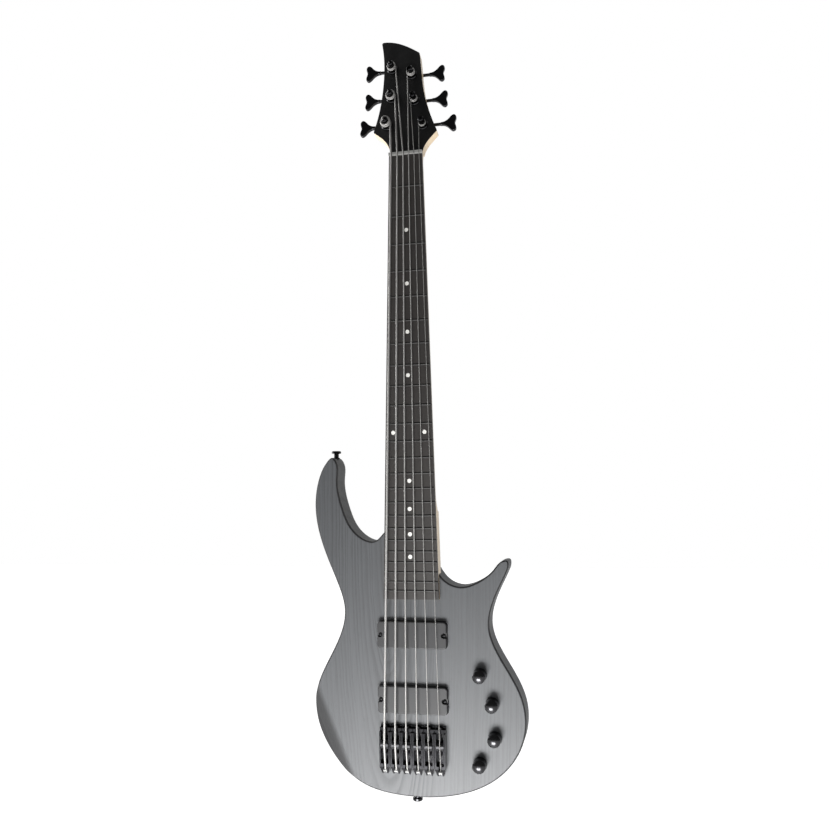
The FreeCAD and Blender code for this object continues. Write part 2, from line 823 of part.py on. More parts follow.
class Winding:
    """The way of one string round its post, in the headstock's frame."""

    def __init__(self, i):
        self.diameter = string_diameters[i]
        self.turns = winding_turns[i]
        self.a, self.b = post_places()[i]
        self.sense = -head_side(i)
        self.radius = post_drum_radius + moving_clearance + self.diameter / 2
        self.pitch = self.diameter + winding_gap
        self.low_c = post_foot_c + winding_floor + self.diameter / 2
        nut_point = head_place.inverse().multVec(string_at_nut(i))
        run = vec(self.a - nut_point.x, self.b - nut_point.y, 0)
        lean = math.asin(self.radius / run.Length)
        reach = math.sqrt(run.Length ** 2 - self.radius ** 2)
        heading = math.atan2(run.y, run.x) - self.sense * lean
        self.first_angle = heading - self.sense * math.pi / 2
        self.touch = vec(nut_point.x + reach * math.cos(heading), nut_point.y + reach * math.sin(heading),
                         self.low_c)
        self.way_in = (self.touch - nut_point).normalize()

    def high_c(self):
        """Level of the string's end in the post's slot."""
        return self.low_c + self.turns * self.pitch

    def last_angle(self):
        """Direction from the post's axis at which the winding turns into the slot."""
        return self.first_angle + self.sense * self.turns * 2 * math.pi

    def point(self, turn):
        """A point of the winding after a number of turns."""
        angle = self.first_angle + self.sense * turn * 2 * math.pi
        return vec(self.a + self.radius * math.cos(angle), self.b + self.radius * math.sin(angle),
                   self.low_c + turn * self.pitch)

    def way(self, turn):
        """Direction of the winding after a number of turns."""
        angle = self.first_angle + self.sense * turn * 2 * math.pi
        round_way = self.sense * 2 * math.pi * self.radius
        return vec(-round_way * math.sin(angle), round_way * math.cos(angle), self.pitch).normalize()

    def edges(self):
        """Arcs of a quarter turn each, then the curl into the post's slot."""
        quarters = int(round(4 * self.turns))
        edges = []
        for k in range(quarters):
            start_way = self.way(k / 4) if k else self.way_in
            end_way = self.way((k + 1) / 4)
            if k == quarters - 1:
                end_way = vec(end_way.x, end_way.y, 0).normalize()
            edges += biarc(self.point(k / 4), start_way, self.point((k + 1) / 4), end_way)
        start = self.point(self.turns)
        way = self.way(self.turns)
        flat_way = vec(way.x, way.y, 0).normalize()
        edges.append(arc_from(start, flat_way, vec(self.a, self.b, start.z)))
        return edges

    def least_gap(self):
        """Least room between neighbouring turns, measured on points."""
        count = 36
        points = [self.point(k / count) for k in range(int(self.turns * count) + 1)]
        gaps = [(points[m] - points[k]).Length for k in range(len(points))
                for m in range(k + count * 3 // 4, len(points))]
        return min(gaps) - self.diameter


def string_outs():
    """Points at which the strings reach their posts."""
    return [head_place.multVec(Winding(i).touch) for i in range(len(string_diameters))]


def make_string(i):
    """One string as an unbroken tube from its ball end to its post."""
    winding = Winding(i)
    ball, saddle, nut = string_at_ball(i), string_at_saddle(i), string_at_nut(i)
    touch = head_place.multVec(winding.touch)
    at_saddle = bend(ball, saddle, nut, saddle_bend_radius)
    at_nut = bend(saddle, nut, touch, nut_bend_radius)
    edges = [Part.makeLine(ball, at_saddle.valueAt(at_saddle.FirstParameter)), at_saddle,
             Part.makeLine(at_saddle.valueAt(at_saddle.LastParameter), at_nut.valueAt(at_nut.FirstParameter)),
             at_nut, Part.makeLine(at_nut.valueAt(at_nut.LastParameter), touch)]
    edges += [on_head(edge) for edge in winding.edges()]
    spine = Part.Wire(edges)
    ring = Part.Wire(Part.Circle(ball, saddle - ball, winding.diameter / 2).toShape())
    tube = spine.makePipeShell([ring], True, False)
    share = tube.Volume / (math.pi * winding.diameter ** 2 / 4 * spine.Length)
    print("string %d volume share %.4f least gap %.2f mm" % (i + 1, share, winding.least_gap()))
    end = rod(ball - vec(ball_length / 2, 0, 0), vec(1, 0, 0), ball_radius, ball_length)
    return tube.fuse(end)


def make_bushings():
    """Flanged sleeves that guide the posts in the headstock."""
    sleeves = []
    inner = post_shaft_radius + running_clearance
    foot = -overlay_thickness - head_thickness
    for a, b in post_places():
        profile = ((inner, foot), (bushing_radius, foot), (bushing_radius, 0), (bushing_flange_radius, 0),
                   (bushing_flange_radius, bushing_flange_thickness - small_round),
                   (bushing_flange_radius - small_round, bushing_flange_thickness),
                   (inner, bushing_flange_thickness))
        sleeves.append(on_head(turned(profile, vec(a, b, 0), vec(0, 0, 1))))
    return sleeves


def wheel_wire(c, twist):
    """Outline of the gear wheel at a level, with one tooth on the worm's side."""
    pitch_angle = 2 * math.pi / wheel_teeth
    spread = math.tan(math.radians(pressure_angle))
    pitch_half = (math.pi * wheel_module - tooth_backlash) / 4
    root_half = pitch_half + tooth_dedendum * spread
    tip_half = pitch_half - tooth_addendum * spread
    root = wheel_pitch_radius - tooth_dedendum
    tip = wheel_pitch_radius + tooth_addendum
    points = []
    for k in range(wheel_teeth):
        middle = math.pi / 2 + k * pitch_angle + twist
        for radius, half in ((root, root_half), (tip, tip_half), (tip, -tip_half), (root, -root_half)):
            angle = middle - half / radius
            points.append(vec(radius * math.cos(angle), radius * math.sin(angle), c))
    return polygon(points)


def make_post(i):
    """Post with its gear wheel, slotted for the string's end."""
    winding = Winding(i)
    lead_slope = worm_lead / (2 * math.pi * worm_pitch_radius)
    twist = lead_slope * wheel_thickness / 2 / wheel_pitch_radius
    wheel = Part.makeLoft([wheel_wire(wheel_bottom_c, -twist), wheel_wire(wheel_top_c, twist)], True, True)
    wheel.translate(vec(winding.a, winding.b, 0))
    foot_c = wheel_bottom_c - post_screw_height
    profile = ((0, foot_c), (post_screw_radius, foot_c), (post_screw_radius, wheel_bottom_c),
               (post_shaft_radius, wheel_bottom_c), (post_shaft_radius, post_foot_c),
               (post_drum_radius, post_foot_c), (post_drum_radius, post_top_c - small_round),
               (post_drum_radius - small_round, post_top_c), (0, post_top_c))
    post = turned(profile, vec(winding.a, winding.b, 0), vec(0, 0, 1)).fuse(wheel)
    return on_head(post.cut(post_slot(winding)))


def post_slot(winding):
    """Curled slot and centre bore in a post's top for the string's end."""
    floor = winding.high_c() - winding.diameter / 2 - slot_clearance
    height = post_top_c - floor + cut_overrun
    curl = winding.radius / 2
    half = winding.diameter / 2 + slot_clearance
    angle = winding.last_angle()
    centre = vec(winding.a + curl * math.cos(angle), winding.b + curl * math.sin(angle), floor)
    up = vec(0, 0, 1)
    start = angle if winding.sense > 0 else angle - math.pi
    outer, inner = curl + half, curl - half

    def spot(radius, turn):
        return centre + vec(radius * math.cos(start + turn), radius * math.sin(start + turn), 0)

    far = Part.Arc(spot(outer, 0), spot(outer, math.pi / 2), spot(outer, math.pi)).toShape()
    near = Part.Arc(spot(inner, math.pi), spot(inner, math.pi / 2), spot(inner, 0)).toShape()
    ends = [Part.makeLine(spot(outer, math.pi), spot(inner, math.pi)),
            Part.makeLine(spot(inner, 0), spot(outer, 0))]
    band = extrude(Part.Wire([far, ends[0], near, ends[1]]), up * height)
    depth = height + winding.diameter
    bore = rod(vec(winding.a, winding.b, post_top_c + cut_overrun), -up, half + slot_clearance, depth)
    return [band, bore]


def make_worm():
    """Worm thread on its shaft, along Z about the middle of its length."""
    spread = math.tan(math.radians(pressure_angle))
    pitch_half = (worm_lead - tooth_backlash) / 4
    root = worm_pitch_radius - tooth_dedendum
    tip = worm_pitch_radius + tooth_addendum
    sunk = root - tooth_dedendum / 2
    sunk_half = pitch_half + (worm_pitch_radius - sunk) * spread
    tip_half = pitch_half - tooth_addendum * spread
    half = worm_length / 2 - sunk_half
    helix = Part.makeHelix(worm_lead, 2 * half, worm_pitch_radius)
    ring = polygon([vec(sunk, 0, -sunk_half), vec(tip, 0, -tip_half), vec(tip, 0, tip_half),
                    vec(sunk, 0, sunk_half)])
    thread = Part.Wire(helix).makePipeShell([ring], True, True)
    thread.translate(vec(0, 0, -half))
    thread.rotate(vec(0, 0, 0), vec(0, 0, 1), -360 * half / worm_lead)
    shaft = rod(vec(0, 0, -worm_length / 2), vec(0, 0, 1), root, worm_length)
    return shaft.fuse(thread)


def key_paddle(side):
    """Flared key outline swept to its thickness, to one side of the post."""
    upper = [vec(side * u * key_length, w * key_width, -key_thickness / 2) for u, w in key_shares]
    lower = [vec(p.x, -p.y, p.z) for p in reversed(upper[:-1])]
    points = upper + lower
    wire = Part.Wire([spline(points), Part.makeLine(points[-1], points[0])])
    paddle = extrude(wire, vec(0, 0, key_thickness))
    return round_edges(paddle, key_edge_radius, lambda edge: edge.BoundBox.ZLength < key_edge_radius)


def make_key(i, worm):
    """Key with its stem and worm."""
    a, b = post_places()[i]
    side = head_side(i)
    inner = worm_length / 2 + worm_end_gap + lug_thickness + small_round
    reach = key_shares[1][0] * key_length
    stem = rod(vec(-side * inner, 0, 0), vec(side, 0, 0), key_shaft_radius, inner + reach)
    thread = worm.copy()
    thread.Placement = FreeCAD.Placement(vec(0, 0, 0), FreeCAD.Rotation(vec(1, 1, 1), 120))
    collar_at = worm_length / 2 + 2 * worm_end_gap + lug_thickness
    collar = rod(vec(side * collar_at, 0, 0), vec(side, 0, 0), lug_radius - small_round, lug_thickness)
    key = thread.fuse([stem, collar, key_paddle(side)])
    key.translate(vec(a, b + gear_distance, worm_c))
    return on_head(key)


def plate_screw_places():
    """Screw places on one machine head's plate, about the post."""
    half_a = plate_width / 2 - tuner_screw_inset
    half_b = plate_length / 2 - tuner_screw_inset
    return [(sa * half_a, plate_offset + sb * half_b) for sa in (-1, 1) for sb in (-1, 1)]


def make_tuner_plate(i):
    """Base plate with the two lugs that carry the worm."""
    a, b = post_places()[i]
    half = plate_width / 2
    plate = block(-half, half, plate_offset - plate_length / 2, plate_offset + plate_length / 2,
                  plate_back_c, plate_back_c + plate_thickness)
    plate = round_edges(plate, plate_corner_radius, lambda edge: along(edge, vec(0, 0, 1)))
    pieces = []
    bore = []
    for side in (-1, 1):
        near = side * (worm_length / 2 + worm_end_gap)
        start = min(near, near + side * lug_thickness)
        pieces.append(block(start, start + lug_thickness, gear_distance - lug_radius,
                            gear_distance + lug_radius, worm_c, plate_back_c))
        pieces.append(rod(vec(start, gear_distance, worm_c), vec(1, 0, 0), lug_radius, lug_thickness))
        bore.append(rod(vec(start - cut_overrun, gear_distance, worm_c), vec(1, 0, 0),
                        key_shaft_radius + running_clearance, lug_thickness + 2 * cut_overrun))
    low = plate_back_c - cut_overrun
    through = plate_thickness + 2 * cut_overrun
    bore.append(rod(vec(0, 0, low), vec(0, 0, 1), post_shaft_radius + running_clearance, through))
    bore += [rod(vec(da, db, low), vec(0, 0, 1), tuner_screw_radius + running_clearance, through)
             for da, db in plate_screw_places()]
    window = worm_pitch_radius + tooth_addendum + worm_window_margin
    reach = worm_length / 2 + worm_end_gap
    bore.append(block(-reach, reach, gear_distance - window, gear_distance + window,
                      plate_back_c, plate_back_c + plate_thickness))
    solid = plate.fuse(pieces).cut(bore)
    solid.translate(vec(a, b, 0))
    return on_head(solid)


def make_tuner_screws():
    """Small round-head screws of the machine heads."""
    screws = []
    for a, b in post_places():
        for da, db in plate_screw_places():
            profile = ((0, -tuner_screw_head_height), (tuner_screw_head_radius, 0), (tuner_screw_radius, 0),
                       (tuner_screw_radius, tuner_screw_bite), (0, tuner_screw_bite))
            screws.append(on_head(turned(profile, vec(a + da, b + db, plate_back_c), vec(0, 0, 1))))
    return screws


def make_bridge_unit(x):
    """One single-string bridge base with side walls, lip and ball seat."""
    zero = saddle_line_height
    half = unit_width / 2
    tail_half = unit_tail_width / 2
    top_y = front_y - unit_height
    plan = [vec(-half, front_y, zero + unit_front), vec(half, front_y, zero + unit_front),
            vec(half, front_y, zero - unit_tail_start), vec(tail_half, front_y, zero - unit_rear),
            vec(-tail_half, front_y, zero - unit_rear), vec(-half, front_y, zero - unit_tail_start)]
    unit = extrude(polygon(plan), vec(0, -unit_height, 0))
    unit = round_edges(unit, unit_edge_radius, lambda edge: along(edge, vec(0, 1, 0)))
    channel = half - unit_wall
    pocket = ball_length / 2 + ball_pocket_clearance
    seat_y = front_y - ball_height + ball_radius + ball_pocket_clearance
    slot = max(string_diameters) / 2 + slot_clearance
    wide = half + cut_overrun
    cuts = [
        block(-channel, channel, top_y - cut_overrun, saddle_floor_y, zero - channel_rear,
              zero + channel_front),
        block(-wide, wide, top_y - cut_overrun, front_y - lip_height, zero + channel_front,
              zero + unit_front + cut_overrun),
        block(-wide, wide, top_y - cut_overrun, saddle_floor_y, zero + lip_front,
              zero + unit_front + cut_overrun),
        block(-pocket, pocket, top_y - cut_overrun, seat_y, zero - unit_rear - cut_overrun, zero - ball_stop),
        block(-slot, slot, top_y - cut_overrun, seat_y, zero - ball_stop - cut_overrun, zero - channel_rear),
        rod(vec(0, front_y - intonation_screw_height, zero + channel_front - cut_overrun), vec(0, 0, 1),
            intonation_screw_radius + running_clearance, unit_front),
        tail_slope_cut(wide, top_y),
    ]
    cuts += unit_screws(0)
    unit = unit.cut(cuts)
    unit.translate(vec(x, 0, 0))
    return unit


def tail_slope_cut(wide, top_y):
    """Wedge that lowers a bridge base towards its tail."""
    zero = saddle_line_height
    far = zero - unit_rear - cut_overrun
    slope = (unit_height - unit_tail_height) / (unit_rear - unit_tail_start)
    corners = [vec(-wide, top_y, zero - unit_tail_start),
               vec(-wide, top_y + slope * (zero - unit_tail_start - far), far), vec(-wide, top_y, far)]
    return extrude(polygon(corners), vec(2 * wide, 0, 0))


def unit_screws(x):
    """Two countersunk wood screws in the floor of a bridge base."""
    screws = []
    for z in (saddle_line_height + unit_screw_front, saddle_line_height - unit_screw_rear):
        screws.append(countersunk(vec(x, saddle_floor_y, z), vec(0, 1, 0), unit_screw_head_radius,
                                  unit_screw_head_radius - unit_screw_radius, unit_screw_radius,
                                  unit_floor + unit_screw_bite))
    return screws


def make_saddle(i):
    """Saddle block with its crest, string groove and threaded way."""
    crest = string_at_saddle(i)
    half = unit_width / 2 - unit_wall - saddle_side_clearance
    floor_y = saddle_floor_y - saddle_floor_clearance
    cheek_y = crest.y - saddle_cheek_rise
    shoulder_y = crest.y + saddle_shoulder_drop
    reach = saddle_length / 2
    flat = saddle_crest_length / 2
    side = [vec(-half, floor_y, -reach), vec(-half, floor_y, reach), vec(-half, shoulder_y, reach),
            vec(-half, cheek_y, flat), vec(-half, cheek_y, -flat), vec(-half, shoulder_y, -reach)]
    saddle = extrude(polygon(side), vec(2 * half, 0, 0))
    saddle.translate(vec(crest.x, 0, crest.z))
    cuts = []
    for target in (string_at_nut(i), string_at_ball(i)):
        way = (target - crest).normalize()
        cuts.append(string_groove(crest - way * small_round, way, string_diameters[i], saddle_length))
    cuts.append(rod(vec(crest.x, front_y - intonation_screw_height, crest.z - saddle_length), vec(0, 0, 1),
                    intonation_screw_radius + running_clearance, 2 * saddle_length))
    return saddle.cut(cuts)


def make_intonation_screw(i):
    """Screw that draws a saddle along its base, with a cross-slotted head."""
    y = front_y - intonation_screw_height
    z = saddle_line_height + lip_front
    tail = saddle_length / 2 + saddle_travel + intonation_screw_spare
    shank = rod(vec(0, y, saddle_line_height - tail), vec(0, 0, 1), intonation_screw_radius, lip_front + tail)
    head = rod(vec(0, y, z), vec(0, 0, 1), intonation_head_radius, intonation_head_length)
    slot_half = driver_slot_width / 2
    wide = intonation_head_radius - small_round / 2
    floor = z + intonation_head_length - driver_slot_depth
    roof = z + intonation_head_length + cut_overrun
    cross = [block(-wide, wide, y - slot_half, y + slot_half, floor, roof),
             block(-slot_half, slot_half, y - wide, y + wide, floor, roof)]
    screw = shank.fuse(head).cut(cross)
    screw.translate(vec(unit_xs[i], 0, 0))
    return screw


def make_pickup_cover(z):
    """Soapbar cover, open behind, with a notch and screw hole at each end."""
    cover = make_pickup_block(z, 0)
    top_y = front_y - pickup_rise
    level = top_y + running_clearance
    cover = round_edges(cover, pickup_edge_radius, lambda edge: edge.BoundBox.YMax < level)
    half_x = pickup_width / 2 - pickup_end_wall
    half_z = pickup_height / 2 - pickup_wall
    cuts = [block(-half_x, half_x, top_y + pickup_wall, front_y + pickup_depth, z - half_z, z + half_z)]
    for x in pickup_screw_xs():
        cuts.append(notch(x, z, top_y))
        cuts.append(rod(vec(x, top_y, z), vec(0, 1, 0), pickup_screw_radius + running_clearance,
                        pickup_depth))
    return cover.cut(cuts)


def notch(x, z, top_y):
    """Round-ended notch over a pickup screw, open to the pickup's end."""
    side = math.copysign(1, x)
    hole = rod(vec(x, top_y - cut_overrun, z), vec(0, 1, 0), pickup_notch_radius,
               pickup_notch_depth + cut_overrun)
    far = x + side * pickup_end_wall
    gate = block(min(x, far), max(x, far), top_y - cut_overrun, top_y + pickup_notch_depth,
                 z - pickup_notch_radius, z + pickup_notch_radius)
    return hole.fuse(gate)


def pickup_screw_xs():
    """Places of the two screws of a pickup."""
    reach = pickup_width / 2 - pickup_notch_radius / 2 - pickup_notch_inset
    return -reach, reach


def make_pickup_screws():
    """Round-head screws that hold the pickups."""
    screws = []
    seat_y = front_y - pickup_rise + pickup_notch_depth
    length = pickup_depth - pickup_notch_depth + pickup_screw_bite
    for z in pickup_heights:
        for x in pickup_screw_xs():
            profile = ((0, -pickup_screw_head_height),
                       (pickup_screw_head_radius - small_round, -pickup_screw_head_height),
                       (pickup_screw_head_radius, 0), (pickup_screw_radius, 0), (pickup_screw_radius, length),
                       (0, length))
            screws.append(turned(profile, vec(x, seat_y, z), vec(0, 1, 0)))
    return screws


def make_coil(z):
    """Long coil round its magnet, against the cover's inside."""
    ceiling = front_y - pickup_rise + pickup_wall
    outer = block(-coil_length / 2, coil_length / 2, ceiling, ceiling + coil_height,
                  z - coil_width / 2, z + coil_width / 2)
    outer = round_edges(outer, coil_width / 3, lambda edge: along(edge, vec(0, 1, 0)))
    return outer.cut(make_magnet(z))


def make_magnet(z):
    """Bar magnet in the middle of a coil."""
    ceiling = front_y - pickup_rise + pickup_wall
    return block(-magnet_length / 2, magnet_length / 2, ceiling, ceiling + coil_height,
                 z - magnet_width / 2, z + magnet_width / 2)


def make_knob(x, z):
    """Slightly tapered control knob with a domed top and a hollow for the nut."""
    base_y = front_y - knob_gap
    sphere = (knob_top_radius ** 2 + knob_crown ** 2) / (2 * knob_crown)
    wall_top = knob_height - knob_crown
    half_way = knob_top_radius / 2
    crown_point = vec(half_way, 0, knob_height - sphere + math.sqrt(sphere ** 2 - half_way ** 2))
    bore = pot_shaft_radius + running_clearance
    bore_top = knob_height - knob_top_wall
    corners = [vec(0, 0, knob_height), vec(0, 0, bore_top), vec(bore, 0, bore_top),
               vec(bore, 0, knob_socket_depth), vec(knob_socket_radius, 0, knob_socket_depth),
               vec(knob_socket_radius, 0, 0), vec(knob_radius, 0, 0), vec(knob_top_radius, 0, wall_top)]
    dome = Part.Arc(corners[-1], crown_point, corners[0]).toShape()
    profile = Part.Face(Part.Wire([Part.makePolygon(corners), dome]))
    knob = profile.revolve(vec(0, 0, 0), vec(0, 0, 1), 360)
    knob.Placement = FreeCAD.Placement(vec(x, base_y, z), FreeCAD.Rotation(vec(0, 0, 1), vec(0, -1, 0)))
    return knob


def make_pot(x, z):
    """Potentiometer can with its bush, behind the front wall."""
    wall_y = front_y + control_wall
    profile = ((0, -pot_height), (pot_radius, -pot_height), (pot_radius, 0), (pot_bush_radius, 0),
               (pot_bush_radius, control_wall + pot_bush_rise),
               (pot_shaft_radius + running_clearance, control_wall + pot_bush_rise),
               (pot_shaft_radius + running_clearance, -pot_shaft_root), (0, -pot_shaft_root))
    return turned(profile, vec(x, wall_y, z), vec(0, -1, 0))


def make_pot_shaft(x, z):
    """Shaft from inside the can to the knob's bore."""
    length = pot_shaft_root + control_wall + knob_gap + knob_height - knob_top_wall - running_clearance
    start = vec(x, front_y + control_wall + pot_shaft_root, z)
    return rod(start, vec(0, -1, 0), pot_shaft_radius, length)


def make_pot_nut(x, z):
    """Six-sided nut on a pot's bush."""
    corners = []
    for k in range(pot_nut_sides):
        angle = 2 * math.pi * k / pot_nut_sides
        spread = vec(pot_nut_radius * math.cos(angle), 0, pot_nut_radius * math.sin(angle))
        corners.append(vec(x, front_y, z) + spread)
    hole = rod(vec(x, front_y + cut_overrun, z), vec(0, -1, 0), pot_bush_radius + running_clearance,
               pot_nut_height + 2 * cut_overrun)
    return extrude(polygon(corners), vec(0, -pot_nut_height, 0)).cut(hole)


def cover_screw_places():
    """Screw places near the cover's corners."""
    inner = cover_wire(back_y, cover_screw_inset)
    return [(vertex.X, vertex.Z) for vertex in inner.Vertexes]


def make_cover():
    """Control cavity cover in its recess."""
    cover = rounded_cover_block(back_y - cover_thickness, back_y, 0, cover_corner_radius)
    return cover.cut(make_cover_screws())


def make_cover_screws():
    """Countersunk screws of the control cavity cover."""
    head_depth = cover_screw_head_radius - cover_screw_radius
    return [countersunk(vec(x, back_y, z), vec(0, -1, 0), cover_screw_head_radius, head_depth,
                        cover_screw_radius, cover_thickness + cover_screw_bite)
            for x, z in cover_screw_places()]


def make_jack():
    """Barrel of the output jack with its plug bore."""
    wall, out = jack_frame()
    start = wall - out * jack_inner_length
    length = jack_inner_length + jack_seat_distance + jack_outer_length
    barrel = rod(start, out, jack_barrel_radius, length)
    bore = rod(start + out * jack_bore_radius, out, jack_bore_radius, length)
    return barrel.cut(bore)


def make_jack_nut():
    """Round nut of the jack on its seat."""
    wall, out = jack_frame()
    inner = jack_barrel_radius + running_clearance
    profile = ((inner, 0), (jack_nut_radius, 0), (jack_nut_radius, jack_nut_height - small_round),
               (jack_nut_radius - small_round, jack_nut_height), (inner, jack_nut_height))
    return turned(profile, wall + out * jack_seat_distance, out)


def button_places():
    """Seat and direction of the two strap buttons."""
    horn = vec(horn_button_share * body_width, 0, horn_seat_z)
    return [(vec(0, 0, 0), vec(0, 0, -1)), (horn, vec(0, 0, 1))]


def make_button(seat, out):
    """Strap button with a waist for the strap and a countersunk bore."""
    head_foot = button_height - button_head_height
    profile = ((button_bore_radius, 0), (button_flange_radius, 0),
               (button_flange_radius, button_flange_height),
               (button_neck_radius, button_flange_height + small_round),
               (button_neck_radius, head_foot - small_round),
               (button_head_radius, head_foot), (button_head_radius, button_height - small_round),
               (button_head_radius - small_round, button_height), (button_screw_head_radius, button_height),
               (button_bore_radius, button_height - button_screw_head_depth))
    return turned(profile, seat, out)


def make_button_screw(seat, out):
    """Countersunk screw of a strap button."""
    return countersunk(seat + out * button_height, -out, button_screw_head_radius, button_screw_head_depth,
                       button_bore_radius - running_clearance, button_height + button_screw_bite)


def main():
    """Build every piece and write its file."""
    os.makedirs("parts", exist_ok=True)
    numbers = range(len(string_diameters))
    knobs = [on_body(share) for share in knob_shares]
    blank = make_board_blank()
    fret_numbers = range(1, fret_count + 1)
    pins = make_dot_pins()
    worm = make_worm()
    save("body", [make_body()])
    save("neck", [make_neck()])
    save("truss_rod", [make_truss_rod()])
    save("fingerboard", [blank.cut([make_fret_slot(number) for number in fret_numbers] + pins)])
    save("frets", [make_fret(number) for number in fret_numbers])
    save("position_dots", [pin.common(blank) for pin in pins])
    save("nut", [make_nut(string_outs())])
    save("headstock_overlay", [make_overlay()])
    save("neck_ferrules", make_ferrules())
    save("neck_screws", make_neck_screws())
    save("tuner_plates", [make_tuner_plate(i) for i in numbers])
    save("tuner_bushings", make_bushings())
    save("tuner_screws", make_tuner_screws())
    save("strings", [make_string(i) for i in numbers])
    save("bridge_bases", [make_bridge_unit(x) for x in unit_xs])
    save("bridge_screws", [screw for x in unit_xs for screw in unit_screws(x)])
    for i in numbers:
        save("tuner_key_%d" % (i + 1), [make_key(i, worm)])
        save("tuner_post_%d" % (i + 1), [make_post(i)])
        save("saddle_%d" % (i + 1), [make_saddle(i)])
        save("intonation_screw_%d" % (i + 1), [make_intonation_screw(i)])
    save("pickup_covers", [make_pickup_cover(z) for z in pickup_heights])
    save("pickup_coils", [make_coil(z) for z in pickup_heights])
    save("pickup_magnets", [make_magnet(z) for z in pickup_heights])
    save("pickup_screws", make_pickup_screws())
    for i, (x, z) in enumerate(knobs):
        save("knob_%d" % (i + 1), [make_knob(x, z)])
        save("pot_shaft_%d" % (i + 1), [make_pot_shaft(x, z)])
    save("pot_cans", [make_pot(x, z) for x, z in knobs])
    save("pot_nuts", [make_pot_nut(x, z) for x, z in knobs])
    save("control_cover", [make_cover()])
    save("cover_screws", make_cover_screws())
    save("output_jack", [make_jack()])
    save("jack_nut", [make_jack_nut()])
    save("strap_buttons", [make_button(seat, out) for seat, out in button_places()])
    save("strap_screws", [make_button_screw(seat, out) for seat, out in button_places()])


if __name__ == "__main__":
    main()
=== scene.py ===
"""Looks of a six-string electric bass guitar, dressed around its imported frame.

The frame's pieces keep their shapes and get their finishes here. Strings, frets and screws are
modelled again in finer form and ride on the bodies that carry them. All sizes are in metres.
"""

from __future__ import annotations

import json
import logging
import math
from dataclasses import dataclass, field
from enum import Enum
from typing import Any, Mapping, Sequence, Union

import bmesh
import bpy
from mathutils import Matrix, Vector

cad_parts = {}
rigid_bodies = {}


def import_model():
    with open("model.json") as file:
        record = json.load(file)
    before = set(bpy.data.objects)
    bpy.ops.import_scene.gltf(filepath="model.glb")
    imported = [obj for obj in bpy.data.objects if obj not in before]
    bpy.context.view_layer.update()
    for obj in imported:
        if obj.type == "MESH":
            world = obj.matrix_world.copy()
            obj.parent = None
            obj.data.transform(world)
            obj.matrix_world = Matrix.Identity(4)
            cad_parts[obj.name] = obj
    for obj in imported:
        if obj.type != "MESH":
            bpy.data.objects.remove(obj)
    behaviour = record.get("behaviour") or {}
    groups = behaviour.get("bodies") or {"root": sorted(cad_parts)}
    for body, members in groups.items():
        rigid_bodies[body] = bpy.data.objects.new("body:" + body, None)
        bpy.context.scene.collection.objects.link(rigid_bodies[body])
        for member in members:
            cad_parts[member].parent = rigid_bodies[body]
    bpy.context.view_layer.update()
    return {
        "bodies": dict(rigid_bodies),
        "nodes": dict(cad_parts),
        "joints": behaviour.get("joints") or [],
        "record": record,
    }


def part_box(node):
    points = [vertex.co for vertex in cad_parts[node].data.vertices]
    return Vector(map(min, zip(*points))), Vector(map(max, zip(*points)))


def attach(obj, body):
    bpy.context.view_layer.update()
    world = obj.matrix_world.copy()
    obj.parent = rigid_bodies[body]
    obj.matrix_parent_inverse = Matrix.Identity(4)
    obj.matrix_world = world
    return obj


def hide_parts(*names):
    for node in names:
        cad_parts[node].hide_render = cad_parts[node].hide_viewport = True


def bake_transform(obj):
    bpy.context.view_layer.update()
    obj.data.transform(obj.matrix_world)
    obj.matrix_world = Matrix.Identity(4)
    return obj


LOG = logging.getLogger("bass")
INSTRUMENT = "instrument"
STRING_COUNT = 6
KNOB_COUNT = 4
SEMITONES = 12.0
# Radians from which the edge round a string's end stays crisp
RIM_ANGLE = 1.0
# Corners nearer than these are joined, in new meshes and where a node's solids are told apart
WELD_DISTANCE = 1e-7
ISLAND_WELD = 1e-6
# Decimals of a metre by which solids are put in order
ISLAND_DIGITS = 5
FRONT = Vector((0.0, -1.0, 0.0))
BACK = Vector((0.0, 1.0, 0.0))
ACROSS = Vector((1.0, 0.0, 0.0))
UP = Vector((0.0, 0.0, 1.0))

Color = tuple[float, float, float]
Coordinates = tuple[float, float, float]
Feed = Union[float, int, bool, Sequence[float], bpy.types.NodeSocket, bpy.types.ID]
Box = tuple[Vector, Vector]
Spot = tuple[Vector, Vector]


class Slot(Enum):
    """Finishes that the record names, by their slots."""

    BODY = "body_stain"
    NECK = "neck_wood"
    BOARD = "board_wood"
    HEAD = "head_veneer"
    FRET = "fret_wire"
    DOT = "dot_inlay"
    NUT = "nut_plastic"
    STRING = "string_metal"
    HARDWARE = "black_metal"
    SADDLE = "saddle_metal"
    SCREW = "black_screws"
    PICKUP = "pickup_plastic"
    COIL = "coil_wire"
    MAGNET = "magnet_bar"
    KNOB = "knob_black"
    STEEL = "bare_steel"
    COVER = "cover_plastic"


class HeadStyle(Enum):
    """Shapes of a screw's head."""

    PAN = "pan"
    COUNTERSUNK = "countersunk"
    GRUB = "grub"


class Drive(Enum):
    """Recesses that a driver turns, by the number of their points."""

    CROSS = 4
    HEX = 6


